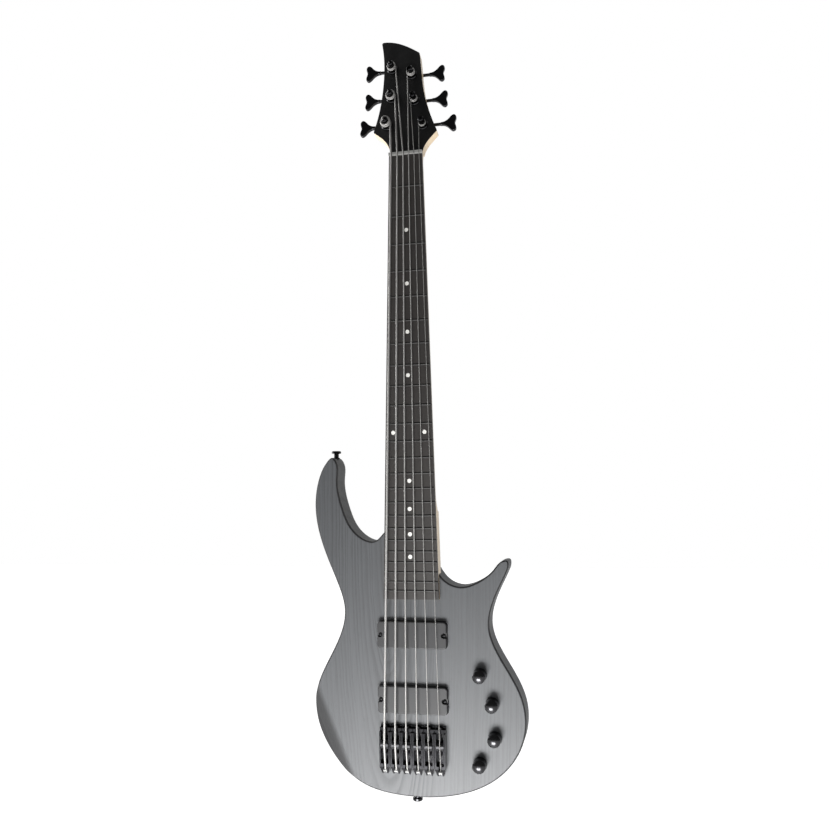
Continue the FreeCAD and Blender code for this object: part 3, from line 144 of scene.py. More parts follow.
class Graph:
    """A node tree with short ways to add, set and link its nodes."""

    def __init__(self, tree: bpy.types.NodeTree) -> None:
        """Keep the tree that the nodes go into."""
        self.tree = tree

    def feed(self, socket: bpy.types.NodeSocket, value: Feed) -> None:
        """Link a socket to another one, or set its own value.

        Args:
            socket: The input to feed.
            value: An output socket, or a plain value.
        """
        if isinstance(value, bpy.types.NodeSocket):
            self.tree.links.new(value, socket)
        else:
            socket.default_value = value

    def add(self, kind: str, inputs: Mapping[Union[int, str], Feed] | None = None,
            **settings: Any) -> bpy.types.Node:
        """Add a node.

        Args:
            kind: The node's type.
            inputs: What its inputs take, by name or place.
            **settings: Properties of the node itself.

        Returns:
            The new node.
        """
        node = self.tree.nodes.new(kind)
        for name, value in settings.items():
            setattr(node, name, value)
        for key, value in (inputs or {}).items():
            self.feed(node.inputs[key], value)
        return node

    def math(self, operation: str, *terms: Feed) -> bpy.types.NodeSocket:
        """Work out a number from one, two or three others.

        Args:
            operation: The kind of sum.
            *terms: Its terms, in order.

        Returns:
            The output socket.
        """
        return self.add("ShaderNodeMath", dict(enumerate(terms)), operation=operation).outputs[0]

    def step(self, value: Feed, low: float, high: float) -> bpy.types.NodeSocket:
        """Rise smoothly from 0 to 1 between two values, or fall where low is above high.

        Args:
            value: The number that is read.
            low: Where the result is 0.
            high: Where the result is 1.

        Returns:
            The output socket.
        """
        ends = {"From Min": low, "From Max": high, "To Min": 0.0, "To Max": 1.0}
        if low > high:
            ends = {"From Min": high, "From Max": low, "To Min": 1.0, "To Max": 0.0}
        return self.add("ShaderNodeMapRange", {"Value": value, **ends},
                        interpolation_type="SMOOTHSTEP").outputs[0]

    def blend(self, share: Feed, first: Feed, second: Feed) -> bpy.types.NodeSocket:
        """Mix two colours.

        Args:
            share: How much of the second colour shows.
            first: The colour at 0.
            second: The colour at 1.

        Returns:
            The mixed colour's socket.
        """
        # The mix node keeps sockets for numbers and vectors before those for its two colours
        return self.add("ShaderNodeMix", {0: share, 6: first, 7: second}, data_type="RGBA").outputs[2]

    def stretched(self, vector: Feed, stretch: float) -> bpy.types.NodeSocket:
        """Scale coordinates so that a pattern runs along the instrument.

        Args:
            vector: The coordinates.
            stretch: Scale along the instrument, against 1 across it.

        Returns:
            The scaled coordinates' socket.
        """
        return self.add("ShaderNodeVectorMath", {0: vector, 1: (1.0, 1.0, stretch)},
                        operation="MULTIPLY").outputs[0]

    def noise(self, vector: Feed, scale: Feed, detail: float = 2.0) -> bpy.types.NodeSocket:
        """Smooth random values between 0 and 1.

        Args:
            vector: The coordinates.
            scale: Features to the metre.
            detail: How many finer layers are added.

        Returns:
            The value's socket.
        """
        return self.add("ShaderNodeTexNoise",
                        {"Vector": vector, "Scale": scale, "Detail": detail}).outputs[0]


def color4(color: Color, shade: float = 1.0) -> tuple[float, float, float, float]:
    """A colour, lighter or darker by a factor, with full cover."""
    return (color[0] * shade, color[1] * shade, color[2] * shade, 1.0)


def shader_group(name: str, inputs: Mapping[str, str], outputs: Sequence[str]) -> tuple[Graph, Any, Any]:
    """Start a shader node group.

    Args:
        name: The group's name.
        inputs: Socket types by input name.
        outputs: Names of the values that it puts out.

    Returns:
        The group's graph, its inputs' sockets and its output node.
    """
    tree = bpy.data.node_groups.new(name, "ShaderNodeTree")
    for label, kind in inputs.items():
        tree.interface.new_socket(label, in_out="INPUT", socket_type=kind)
    for label in outputs:
        tree.interface.new_socket(label, in_out="OUTPUT", socket_type="NodeSocketFloat")
    graph = Graph(tree)
    return graph, graph.add("NodeGroupInput").outputs, graph.add("NodeGroupOutput")


@dataclass(frozen=True)
class GrainPattern:
    """The grain that all woods share: rings round a slanted heart, fibres and pores.

    Scales are features to the metre. A stretch is the scale along the grain against 1 across it.
    Floors are the least that a varying strength falls to.
    """

    slow_scale: float = 14.0
    slow_stretch: float = 0.25
    wave_scale: float = 44.0
    wave_stretch: float = 0.5
    wave_share: float = 0.14
    quick_scale: float = 160.0
    quick_stretch: float = 0.08
    quick_share: float = 0.18
    uneven_scale: float = 60.0
    uneven_detail: float = 1.0
    ring_full: float = 0.12
    ring_end: float = 0.75
    ring_floor: float = 0.4
    calm_share: float = 0.62
    patch_scale: float = 9.0
    patch_stretch: float = 0.35
    patch_levels: tuple[float, float] = (0.36, 0.62)
    patch_floor: float = 0.35
    fibre_stretch: float = 0.025
    fibre_detail: float = 4.0
    speck_stretch: float = 0.06
    speck_factor: float = 2.4
    speck_levels: tuple[float, float] = (0.56, 0.68)
    pore_floor: float = 0.25

    def across(self, graph: Graph, given: Any, beside: Feed) -> bpy.types.NodeSocket:
        """Let the place beside the heart wander, in slow bends with waves and quick shakes on them.

        Args:
            graph: The group's graph.
            given: The group's input sockets.
            beside: Straight place across the board.

        Returns:
            The socket of the place that wanders.
        """
        layers = []
        for scale, stretch in ((self.slow_scale, self.slow_stretch), (self.wave_scale, self.wave_stretch),
                               (self.quick_scale, self.quick_stretch)):
            layer = graph.noise(graph.stretched(given["Vector"], stretch), scale)
            layers.append(graph.math("SUBTRACT", layer, 0.5))
        slow, waves, quick = layers
        wander = graph.math("ADD", graph.math("MULTIPLY_ADD", waves, self.wave_share, slow),
                            graph.math("MULTIPLY", quick, self.quick_share))
        return graph.math("MULTIPLY_ADD", wander, given["Ring Warp"], beside)

    def count(self, graph: Graph, given: Any, across: Feed, depth: Feed) -> bpy.types.NodeSocket:
        """Count the rings from the heart outwards, at uneven spacing.

        Args:
            graph: The group's graph.
            given: The group's input sockets.
            across: Place across the board from the heart.
            depth: Place above the heart.

        Returns:
            The count's socket.
        """
        reach = graph.math("SQRT", graph.math("ADD", graph.math("MULTIPLY", across, across),
                                              graph.math("MULTIPLY", depth, depth)))
        uneven = graph.add("ShaderNodeTexNoise", {"W": reach, "Scale": self.uneven_scale,
                                                  "Detail": self.uneven_detail},
                           noise_dimensions="1D").outputs[0]
        return graph.math("MULTIPLY_ADD", uneven, given["Ring Drift"],
                          graph.math("DIVIDE", reach, given["Ring Spacing"]))

    def band(self, graph: Graph, given: Any, across: Feed, count: Feed) -> bpy.types.NodeSocket:
        """Mark the open wood of each ring, fainter on the calm side of the board.

        Args:
            graph: The group's graph.
            given: The group's input sockets.
            across: Place across the board from the heart.
            count: Rings from the heart.

        Returns:
            The mark's socket.
        """
        phase = graph.math("FRACT", count)
        calm = graph.add("ShaderNodeMapRange", {"Value": across, "From Min": given["Calm From"],
                                                "From Max": given["Calm To"]},
                         interpolation_type="SMOOTHSTEP").outputs[0]
        return graph.math("MULTIPLY", graph.math("MULTIPLY", graph.step(phase, 0.0, self.ring_full),
                                                 graph.step(phase, self.ring_end, self.ring_full)),
                          graph.math("MULTIPLY_ADD", calm, -self.calm_share, 1.0))

    def strength(self, graph: Graph, given: Any, count: Feed) -> bpy.types.NodeSocket:
        """Give each ring a strength of its own, which fades in patches along the board.

        Args:
            graph: The group's graph.
            given: The group's input sockets.
            count: Rings from the heart.

        Returns:
            The strength's socket.
        """
        own = graph.add("ShaderNodeTexWhiteNoise", {"W": graph.math("FLOOR", count)},
                        noise_dimensions="1D").outputs[0]
        patches = graph.step(graph.noise(graph.stretched(given["Vector"], self.patch_stretch),
                                         self.patch_scale), *self.patch_levels)
        return graph.math("MULTIPLY",
                          graph.math("MULTIPLY_ADD", own, 1 - self.ring_floor, self.ring_floor),
                          graph.math("MULTIPLY_ADD", patches, 1 - self.patch_floor, self.patch_floor))

    def build(self) -> bpy.types.NodeTree:
        """Build the shader group.

        Returns:
            The group. Rings is 1 on a ring's open, early wood, Fibres varies about a half, and
            Pores is 1 in a pore.
        """
        number = "NodeSocketFloat"
        graph, given, out = shader_group(
            "wood_grain",
            {"Vector": "NodeSocketVector", "Ring Spacing": number, "Heart Across": number,
             "Heart Depth": number, "Heart Slope": number, "Ring Warp": number, "Ring Drift": number,
             "Fibre Scale": number, "Calm From": number, "Calm To": number},
            ("Rings", "Fibres", "Pores"))
        place = graph.add("ShaderNodeSeparateXYZ", {0: given["Vector"]}).outputs
        across = self.across(graph, given, graph.math("SUBTRACT", place["X"], given["Heart Across"]))
        sunk = graph.math("MULTIPLY_ADD", place["Z"], given["Heart Slope"], given["Heart Depth"])
        depth = graph.math("MAXIMUM", graph.math("ADD", sunk, place["Y"]), 0.0)
        count = self.count(graph, given, across, depth)
        band = self.band(graph, given, across, count)
        rings = graph.math("MULTIPLY", band, self.strength(graph, given, count))
        fibres = graph.noise(graph.stretched(given["Vector"], self.fibre_stretch), given["Fibre Scale"],
                             self.fibre_detail)
        specks = graph.noise(graph.stretched(given["Vector"], self.speck_stretch),
                             graph.math("MULTIPLY", given["Fibre Scale"], self.speck_factor))
        pores = graph.math("MULTIPLY", graph.step(specks, *self.speck_levels),
                           graph.math("MULTIPLY_ADD", band, 1 - self.pore_floor, self.pore_floor))
        for label, value in (("Rings", rings), ("Fibres", fibres), ("Pores", pores)):
            graph.feed(out.inputs[label], value)
        return graph.tree


@dataclass(frozen=True)
class FineSurface:
    """Slow mottling and fine grit for moulded, plated and sanded surfaces."""

    mottle_detail: float = 5.0
    grit_detail: float = 3.0

    def build(self) -> bpy.types.NodeTree:
        """Build the shader group.

        Returns:
            The group, with both values between 0 and 1.
        """
        graph, given, out = shader_group(
            "fine_surface", {"Vector": "NodeSocketVector", "Mottle Scale": "NodeSocketFloat",
                             "Grit Scale": "NodeSocketFloat"}, ("Mottle", "Grit"))
        for label, detail in (("Mottle", self.mottle_detail), ("Grit", self.grit_detail)):
            graph.feed(out.inputs[label], graph.noise(given["Vector"], given[label + " Scale"], detail))
        return graph.tree


class Effects:
    """Shader groups that several finishes share, each built once."""

    def __init__(self) -> None:
        """Build both groups."""
        self.wood = GrainPattern().build()
        self.fine = FineSurface().build()


@dataclass(frozen=True)
class Finish:
    """A finish of one colour, with slow mottling, a varying gloss and a fine grit."""

    name: str
    color: Color
    roughness: float
    gloss_spread: float = 0.10
    tone_spread: float = 0.12
    metallic: float = 0.0
    specular: float = 0.5
    coat: float = 0.0
    coat_roughness: float = 0.2
    mottle_scale: float = 45.0
    grit_scale: float = 2600.0
    grit_depth: float = 0.00002
    grit_strength: float = 0.25

    def start(self) -> tuple[bpy.types.Material, Graph, bpy.types.Node, Any]:
        """Make the material with its shader's plain values set.

        Returns:
            The material, its graph, its shader and the texture coordinates' sockets.
        """
        material = bpy.data.materials.new(self.name)
        material.use_nodes = True
        graph = Graph(material.node_tree)
        shader = material.node_tree.nodes["Principled BSDF"]
        for label, value in (("Metallic", self.metallic), ("Coat Weight", self.coat),
                             ("Coat Roughness", self.coat_roughness), ("Roughness", self.roughness),
                             ("Specular IOR Level", self.specular)):
            graph.feed(shader.inputs[label], value)
        graph.feed(shader.inputs["Base Color"], color4(self.color))
        return material, graph, shader, graph.add("ShaderNodeTexCoord").outputs

    def surface(self, graph: Graph, effects: Effects, place: Feed) -> Any:
        """Place the fine surface group.

        Args:
            graph: The material's graph.
            effects: The shared groups.
            place: Coordinates that the pattern reads.

        Returns:
            The group's output sockets.
        """
        group = graph.add("ShaderNodeGroup", node_tree=effects.fine)
        for label, value in (("Vector", place), ("Mottle Scale", self.mottle_scale),
                             ("Grit Scale", self.grit_scale)):
            graph.feed(group.inputs[label], value)
        return group.outputs

    def gloss(self, graph: Graph, shader: bpy.types.Node, mask: Feed) -> None:
        """Let the roughness wander by a mask between 0 and 1."""
        low = self.roughness - self.gloss_spread / 2
        graph.feed(shader.inputs["Roughness"], graph.math("MULTIPLY_ADD", mask, self.gloss_spread, low))

    def relief(self, graph: Graph, shader: bpy.types.Node, height: Feed) -> None:
        """Raise a fine relief from a height between 0 and 1."""
        bump = graph.add("ShaderNodeBump", {"Strength": self.grit_strength, "Distance": self.grit_depth,
                                            "Height": height})
        graph.feed(shader.inputs["Normal"], bump.outputs[0])

    def make(self, effects: Effects) -> bpy.types.Material:
        """Build the finish's material.

        Args:
            effects: The shared groups.

        Returns:
            The material.
        """
        material, graph, shader, place = self.start()
        fine = self.surface(graph, effects, place["Object"])
        tone = graph.blend(fine["Mottle"], color4(self.color, 1 - self.tone_spread),
                           color4(self.color, 1 + self.tone_spread))
        graph.feed(shader.inputs["Base Color"], tone)
        self.gloss(graph, shader, fine["Mottle"])
        self.relief(graph, shader, fine["Grit"])
        return material


@dataclass(frozen=True)
class Wood(Finish):
    """A wood with growth rings, fibres and pores."""

    ring_color: Color = (0.1, 0.1, 0.1)
    pore_color: Color = (0.05, 0.05, 0.05)
    ring_spacing: float = 0.004
    heart_across: float = 0.0
    heart_depth: float = 0.06
    heart_slope: float = 0.0
    ring_warp: float = 0.01
    ring_drift: float = 3.0
    fibre_scale: float = 900.0
    ring_share: float = 0.6
    streak_share: float = 0.3
    pore_share: float = 0.6
    calm_from: float = 1.0
    calm_to: float = 2.0
    streak_levels: tuple[float, float] = (0.66, 0.34)
    mottle_stretch: float = 0.12

    def grain(self, graph: Graph, effects: Effects, place: Feed) -> Any:
        """Place the wood grain group.

        Args:
            graph: The material's graph.
            effects: The shared groups.
            place: Coordinates that the pattern reads.

        Returns:
            The group's output sockets.
        """
        group = graph.add("ShaderNodeGroup", node_tree=effects.wood)
        values = {"Vector": place, "Ring Spacing": self.ring_spacing, "Heart Across": self.heart_across,
                  "Heart Depth": self.heart_depth, "Heart Slope": self.heart_slope,
                  "Ring Warp": self.ring_warp, "Ring Drift": self.ring_drift,
                  "Fibre Scale": self.fibre_scale, "Calm From": self.calm_from, "Calm To": self.calm_to}
        for label, value in values.items():
            graph.feed(group.inputs[label], value)
        return group.outputs

    def tone(self, graph: Graph, grain: Any, mottle: Feed) -> bpy.types.NodeSocket:
        """Colour the wood from its grain.

        Args:
            graph: The material's graph.
            grain: Output sockets of the wood grain group.
            mottle: Slow variation between 0 and 1.

        Returns:
            The colour's socket.
        """
        plain = graph.blend(mottle, color4(self.color, 1 - self.tone_spread),
                            color4(self.color, 1 + self.tone_spread))
        streaks = graph.math("MULTIPLY", graph.step(grain["Fibres"], *self.streak_levels),
                             self.streak_share)
        streaked = graph.blend(streaks, plain, color4(self.ring_color))
        ringed = graph.blend(graph.math("MULTIPLY", grain["Rings"], self.ring_share), streaked,
                             color4(self.ring_color))
        return graph.blend(graph.math("MULTIPLY", grain["Pores"], self.pore_share), ringed,
                           color4(self.pore_color))

    def make(self, effects: Effects) -> bpy.types.Material:
        """Build the wood's material.

        Args:
            effects: The shared groups.

        Returns:
            The material.
        """
        material, graph, shader, place = self.start()
        grain = self.grain(graph, effects, place["Object"])
        fine = self.surface(graph, effects, graph.stretched(place["Object"], self.mottle_stretch))
        graph.feed(shader.inputs["Base Color"], self.tone(graph, grain, fine["Mottle"]))
        self.gloss(graph, shader, graph.math("ADD", grain["Fibres"], grain["Rings"]))
        self.relief(graph, shader, graph.math("SUBTRACT", grain["Fibres"], grain["Pores"]))
        self.shade(graph, shader, place["Object"])
        return material

    def shade(self, graph: Graph, shader: bpy.types.Node, place: Feed) -> None:
        """Leave the plain wood as it is."""


@dataclass(frozen=True)
class StainedAsh(Wood):
    """Grey-black stain on open-grained ash, with painted shade along the front edge and on the bevel, dull
    on the walls.

    Levels are places along Y, from the body's face at the front to its back. The painted shade along the
    front edge fades out where the walls begin. The bevel falls away on one side of a straight crease across
    the face.
    """

    # Painted shade: colour and strength of the dark line along the front edge's round, put into the base
    # colour
    edge_shade_color: Color = (0.006, 0.006, 0.0065)
    edge_shade_share: float = 0.96
    edge_shade_start: float = -0.02098
    edge_shade_full: float = -0.02082
    edge_shade_fade: float = -0.0168
    edge_shade_end: float = -0.0148
    edge_shade_dull: float = 0.9
    edge_shade_stop: tuple[float, float] = (0.0010, -0.0010)
    # Painted shade on the bevel: the crease it starts from, how far it rolls in, and how dark it gets
    crease_point: Coordinates = (-0.1634, -0.0210, 0.1998)
    crease_out: Coordinates = (-0.9185, 0.0, -0.3955)
    crease_roll: tuple[float, float] = (-0.0035, 0.0075)
    bevel_shade_levels: tuple[float, float] = (-0.0095, -0.0125)
    bevel_share: float = 0.90
    wall_stop: tuple[float, float] = (0.0200, 0.0180)
    wall_dull: float = 0.85

    def shade(self, graph: Graph, shader: bpy.types.Node, place: Feed) -> None:
        """Draw the painted shade as a dull dark line along the front edge and on the bevel, and dull the
        walls.

        Args:
            graph: The material's graph.
            shader: Its shader, with the wood's colour and gloss linked.
            place: Object coordinates.
        """
        level = graph.add("ShaderNodeSeparateXYZ", {0: place}).outputs["Y"]
        # Painted shade along the front edge: darkest on the round, fading out where the walls begin
        line = graph.math("MULTIPLY", graph.step(level, self.edge_shade_start, self.edge_shade_full),
                          graph.step(level, self.edge_shade_end, self.edge_shade_fade))
        from_crease = graph.add("ShaderNodeVectorMath", {0: place, 1: self.crease_point},
                                operation="SUBTRACT").outputs[0]
        outward = graph.add("ShaderNodeVectorMath", {0: from_crease, 1: self.crease_out},
                            operation="DOT_PRODUCT").outputs["Value"]
        # Painted shade on the bevel, rising from the crease outwards
        bevel = graph.math("MULTIPLY", graph.step(outward, *self.crease_roll),
                           graph.step(level, *self.bevel_shade_levels))
        beside = graph.math("MULTIPLY", line, graph.step(outward, *self.edge_shade_stop))
        share = graph.math("MAXIMUM", graph.math("MULTIPLY", beside, self.edge_shade_share),
                           graph.math("MULTIPLY", bevel, self.bevel_share))
        wood, gloss = (shader.inputs[label].links[0].from_socket for label in ("Base Color", "Roughness"))
        # The base colour is darkened here by the painted shade of the front edge and the bevel
        graph.feed(shader.inputs["Base Color"], graph.blend(share, wood, color4(self.edge_shade_color)))
        wall = graph.math("MULTIPLY", graph.step(level, self.edge_shade_fade, self.edge_shade_end),
                          graph.step(level, *self.wall_stop))
        dull = graph.math("MAXIMUM", graph.math("MULTIPLY", beside, self.edge_shade_dull),
                          graph.math("MULTIPLY", wall, self.wall_dull))
        graph.feed(shader.inputs["Roughness"], graph.math("MAXIMUM", gloss, dull))


@dataclass(frozen=True)
class WoundNickel(Finish):
    """Nickel wire wound round a core, with its turns along the string and painted shade in the valleys
    between them.
    """

    turn_pitch: float = 0.0009
    valley_shade_color: Color = (0.22, 0.21, 0.20)
    valley_shade_end: float = 0.45

    def make(self, effects: Effects) -> bpy.types.Material:
        """Build the string's material.

        Args:
            effects: The shared groups.

        Returns:
            The material.
        """
        material, graph, shader, place = self.start()
        along = graph.add("ShaderNodeAttribute", attribute_name="along").outputs["Fac"]
        angle = graph.math("MULTIPLY", along, 2 * math.pi / self.turn_pitch)
        crest = graph.math("MULTIPLY_ADD", graph.math("SINE", angle), 0.5, 0.5)
        fine = self.surface(graph, effects, place["Object"])
        worn = graph.blend(fine["Mottle"], color4(self.color, 1 - self.tone_spread), color4(self.color))
        # Painted shade: the base colour darkens in the valleys between the turns, which are only a bump
        graph.feed(shader.inputs["Base Color"],
                   graph.blend(graph.step(crest, 0.0, self.valley_shade_end), color4(self.valley_shade_color), worn))
        self.gloss(graph, shader, fine["Mottle"])
        self.relief(graph, shader, crest)
        return material


@dataclass(frozen=True)
class GearedPost(Finish):
    """Black plated post whose gear wheel, behind a level of its axis, is bare brass."""

    gear_color: Color = (0.52, 0.36, 0.13)
    axis: Coordinates = (0.0, -1.0, 0.0)
    gear_level: float = 0.0

    def make(self, effects: Effects) -> bpy.types.Material:
        """Build the post's material.

        Args:
            effects: The shared groups.

        Returns:
            The material.
        """
        material, graph, shader, place = self.start()
        fine = self.surface(graph, effects, place["Object"])
        level = graph.add("ShaderNodeVectorMath", {0: place["Object"], 1: self.axis},
                          operation="DOT_PRODUCT").outputs["Value"]
        gear = graph.math("LESS_THAN", level, self.gear_level)
        brass = graph.blend(fine["Mottle"], color4(self.gear_color, 1 - self.tone_spread),
                            color4(self.gear_color))
        graph.feed(shader.inputs["Base Color"], graph.blend(gear, color4(self.color), brass))
        self.gloss(graph, shader, fine["Mottle"])
        self.relief(graph, shader, fine["Grit"])
        return material


FINISHES: dict[Slot, Finish] = {
    Slot.BODY: StainedAsh(
        "stained_ash", color=(0.059, 0.0620, 0.0664), roughness=0.535, gloss_spread=0.12, tone_spread=0.16,
        coat=0.2, coat_roughness=0.40, mottle_scale=26.0, grit_depth=0.00012, grit_strength=0.35,
        ring_color=(0.029, 0.0303, 0.0325), pore_color=(0.024, 0.025, 0.0267), ring_spacing=0.0052,
        heart_across=-0.038, heart_depth=0.070, heart_slope=-0.16, ring_warp=0.016, fibre_scale=700.0,
        ring_share=0.92, streak_share=0.22, pore_share=0.45, calm_from=0.03, calm_to=0.08),
    Slot.NECK: Wood(
        "satin_maple", color=(0.90, 0.735, 0.52), roughness=0.42, tone_spread=0.08, coat=0.15,
        mottle_scale=12.0, grit_depth=0.00004, ring_color=(0.68, 0.50, 0.31),
        pore_color=(0.58, 0.41, 0.24), ring_spacing=0.0042, heart_across=0.03, heart_depth=0.09,
        heart_slope=0.015, ring_warp=0.008, fibre_scale=1100.0, ring_share=0.35, pore_share=0.2),
    Slot.BOARD: Wood(
        "oiled_dark_board", color=(0.026, 0.023, 0.021), roughness=0.50, tone_spread=0.25,
        mottle_scale=18.0, grit_depth=0.00010, grit_strength=0.4, ring_color=(0.012, 0.010, 0.009),
        pore_color=(0.006, 0.005, 0.005), ring_spacing=0.0030, heart_across=0.02, heart_depth=0.12,
        heart_slope=0.02, ring_warp=0.006, fibre_scale=1300.0, ring_share=0.5, pore_share=0.7),
    Slot.HEAD: Wood(
        "black_veneer", color=(0.007, 0.007, 0.0073), roughness=0.42, tone_spread=0.15, specular=0.3,
        mottle_scale=15.0, grit_depth=0.00005, ring_color=(0.006, 0.006, 0.006),
        pore_color=(0.004, 0.004, 0.004), ring_spacing=0.0035, heart_depth=0.10, ring_warp=0.006,
        ring_share=0.5, pore_share=0.5),
    Slot.FRET: Finish(
        "dark_fret_wire", color=(0.036, 0.035, 0.034), roughness=0.56, metallic=0.6, grit_depth=0.00001),
    Slot.DOT: Finish(
        "pearl_dot", color=(0.82, 0.81, 0.77), roughness=0.28, tone_spread=0.10, mottle_scale=420.0,
        coat=0.4, grit_depth=0.000005),
    Slot.NUT: Finish(
        "grey_nut", color=(0.28, 0.28, 0.268), roughness=0.45, mottle_scale=160.0),
    Slot.STRING: WoundNickel(
        "wound_nickel", color=(0.40, 0.395, 0.385), roughness=0.50, metallic=0.55, tone_spread=0.22,
        mottle_scale=30.0, grit_depth=0.00012, grit_strength=0.45),
    Slot.HARDWARE: Finish(
        "black_plating", color=(0.030, 0.030, 0.032), roughness=0.16, gloss_spread=0.08, metallic=1.0,
        mottle_scale=90.0, grit_depth=0.00001),
    Slot.SADDLE: Finish(
        "worn_saddle_plating", color=(0.046, 0.046, 0.048), roughness=0.42, metallic=1.0,
        tone_spread=0.25, mottle_scale=300.0, grit_depth=0.00001),
    Slot.SCREW: Finish(
        "black_oxide", color=(0.022, 0.022, 0.023), roughness=0.36, metallic=0.9, mottle_scale=500.0,
        grit_depth=0.00001),
    Slot.PICKUP: Finish(
        "satin_pickup_moulding", color=(0.026, 0.026, 0.027), roughness=0.48, tone_spread=0.10,
        specular=0.38, mottle_scale=60.0, grit_scale=3200.0, grit_depth=0.00003, grit_strength=0.4),
    Slot.COIL: Finish(
        "enamelled_copper", color=(0.42, 0.16, 0.06), roughness=0.35, metallic=0.9, mottle_scale=400.0),
    Slot.MAGNET: Finish(
        "magnet_bar", color=(0.12, 0.12, 0.125), roughness=0.55, metallic=0.4, mottle_scale=200.0),
    Slot.KNOB: Finish(
        "knob_plating", color=(0.045, 0.045, 0.047), roughness=0.25, gloss_spread=0.06, metallic=1.0,
        mottle_scale=70.0, grit_depth=0.000008),
    Slot.STEEL: Finish(
        "bare_steel", color=(0.30, 0.30, 0.295), roughness=0.58, metallic=0.7, mottle_scale=120.0,
        grit_depth=0.00001),
    Slot.COVER: Finish(
        "textured_cover", color=(0.028, 0.028, 0.029), roughness=0.58, mottle_scale=80.0,
        grit_scale=1500.0, grit_depth=0.00008, grit_strength=0.6),
}


class GrowTree:
    """A geometry node tree whose inputs are set by name and whose result becomes a plain mesh."""

    def __init__(self, name: str, inputs: Mapping[str, str]) -> None:
        """Start the tree.

        Args:
            name: The tree's name.
            inputs: Socket types by input name, beside the geometry that it grows on.
        """
        tree = bpy.data.node_groups.new(name, "GeometryNodeTree")
        tree.interface.new_socket("Geometry", in_out="INPUT", socket_type="NodeSocketGeometry")
        self.keys = {label: tree.interface.new_socket(label, in_out="INPUT", socket_type=kind).identifier
                     for label, kind in {**inputs, "Finish": "NodeSocketMaterial"}.items()}
        tree.interface.new_socket("Geometry", in_out="OUTPUT", socket_type="NodeSocketGeometry")
        self.graph = Graph(tree)
        self.given = self.graph.add("NodeGroupInput").outputs
        self.out = self.graph.add("NodeGroupOutput")

    def close(self, geometry: bpy.types.NodeSocket) -> None:
        """End the tree with real geometry in its finish.

        Args:
            geometry: What the tree has grown.
        """
        real = self.graph.add("GeometryNodeRealizeInstances", {0: geometry}).outputs[0]
        dressed = self.graph.add("GeometryNodeSetMaterial",
                                 {"Geometry": real, "Material": self.given["Finish"]}).outputs[0]
        self.graph.feed(self.out.inputs[0], dressed)

    def named(self, label: str, kind: str) -> bpy.types.NodeSocket:
        """Read a named attribute of the geometry.

        Args:
            label: The attribute's name.
            kind: Its data type.

        Returns:
            The attribute's socket.
        """
        return self.graph.add("GeometryNodeInputNamedAttribute", {"Name": label}, data_type=kind).outputs[0]

    def grow(self, name: str, mesh: bpy.types.Mesh, values: Mapping[str, Any]) -> bpy.types.Mesh:
        """Run the tree on a mesh.

        Args:
            name: Name of the new mesh.
            mesh: The points or lines that it grows on.
            values: What the inputs take, by name.

        Returns:
            A plain mesh, with no modifier behind it.
        """
        holder = bpy.data.objects.new(name + "_seed", mesh)
        bpy.context.scene.collection.objects.link(holder)
        modifier = holder.modifiers.new("grow", "NODES")
        modifier.node_group = self.graph.tree
        for label, value in values.items():
            modifier[self.keys[label]] = value
        depsgraph = bpy.context.evaluated_depsgraph_get()
        result = bpy.data.meshes.new_from_object(holder.evaluated_get(depsgraph),
                                                 preserve_all_data_layers=True, depsgraph=depsgraph)
        holder.modifiers.remove(modifier)
        bpy.data.objects.remove(holder)
        result.name = name
        return result


def scatter_tree() -> GrowTree:
    """Build the tree that sets a prototype on each point, turned to face the point's way.

    Returns:
        The tree, with inputs Prototype and Finish.
    """
    tree = GrowTree("scatter", {"Prototype": "NodeSocketObject"})
    graph = tree.graph
    shape = graph.add("GeometryNodeObjectInfo", {"Object": tree.given["Prototype"]}).outputs["Geometry"]
    turn = graph.add("FunctionNodeAlignRotationToVector", {"Vector": tree.named("facing", "FLOAT_VECTOR")},
                     axis="Z").outputs[0]
    tree.close(graph.add("GeometryNodeInstanceOnPoints", {
        "Points": tree.given["Geometry"], "Instance": shape, "Rotation": turn}).outputs[0])
    return tree


def string_tree() -> GrowTree:
    """Build the tree that draws a line out to a round string with the gauge of its points.

    Returns:
        The tree, with inputs Sides and Finish.
    """
    tree = GrowTree("strings", {"Sides": "NodeSocketInt"})
    graph = tree.graph
    curve = graph.add("GeometryNodeMeshToCurve", {0: tree.given["Geometry"]}).outputs[0]
    length = graph.add("GeometryNodeSplineParameter").outputs["Length"]
    marked = graph.add("GeometryNodeStoreNamedAttribute", {"Geometry": curve, "Name": "along",
                                                           "Value": length}, data_type="FLOAT",
                       domain="POINT").outputs[0]
    ring = graph.add("GeometryNodeCurvePrimitiveCircle", {"Resolution": tree.given["Sides"],
                                                          "Radius": 1.0}).outputs[0]
    sweep = graph.add("GeometryNodeCurveToMesh", {
        "Curve": marked, "Profile Curve": ring, "Scale": tree.named("gauge", "FLOAT"),
        "Fill Caps": True}).outputs[0]
    smooth = graph.add("GeometryNodeSetShadeSmooth", {"Geometry": sweep}).outputs[0]
    turn = graph.add("GeometryNodeInputMeshEdgeAngle").outputs["Unsigned Angle"]
    rims = graph.math("GREATER_THAN", turn, RIM_ANGLE)
    tree.close(graph.add("GeometryNodeSetShadeSmooth", {"Geometry": smooth, "Selection": rims,
                                                        "Shade Smooth": False}, domain="EDGE").outputs[0])
    return tree


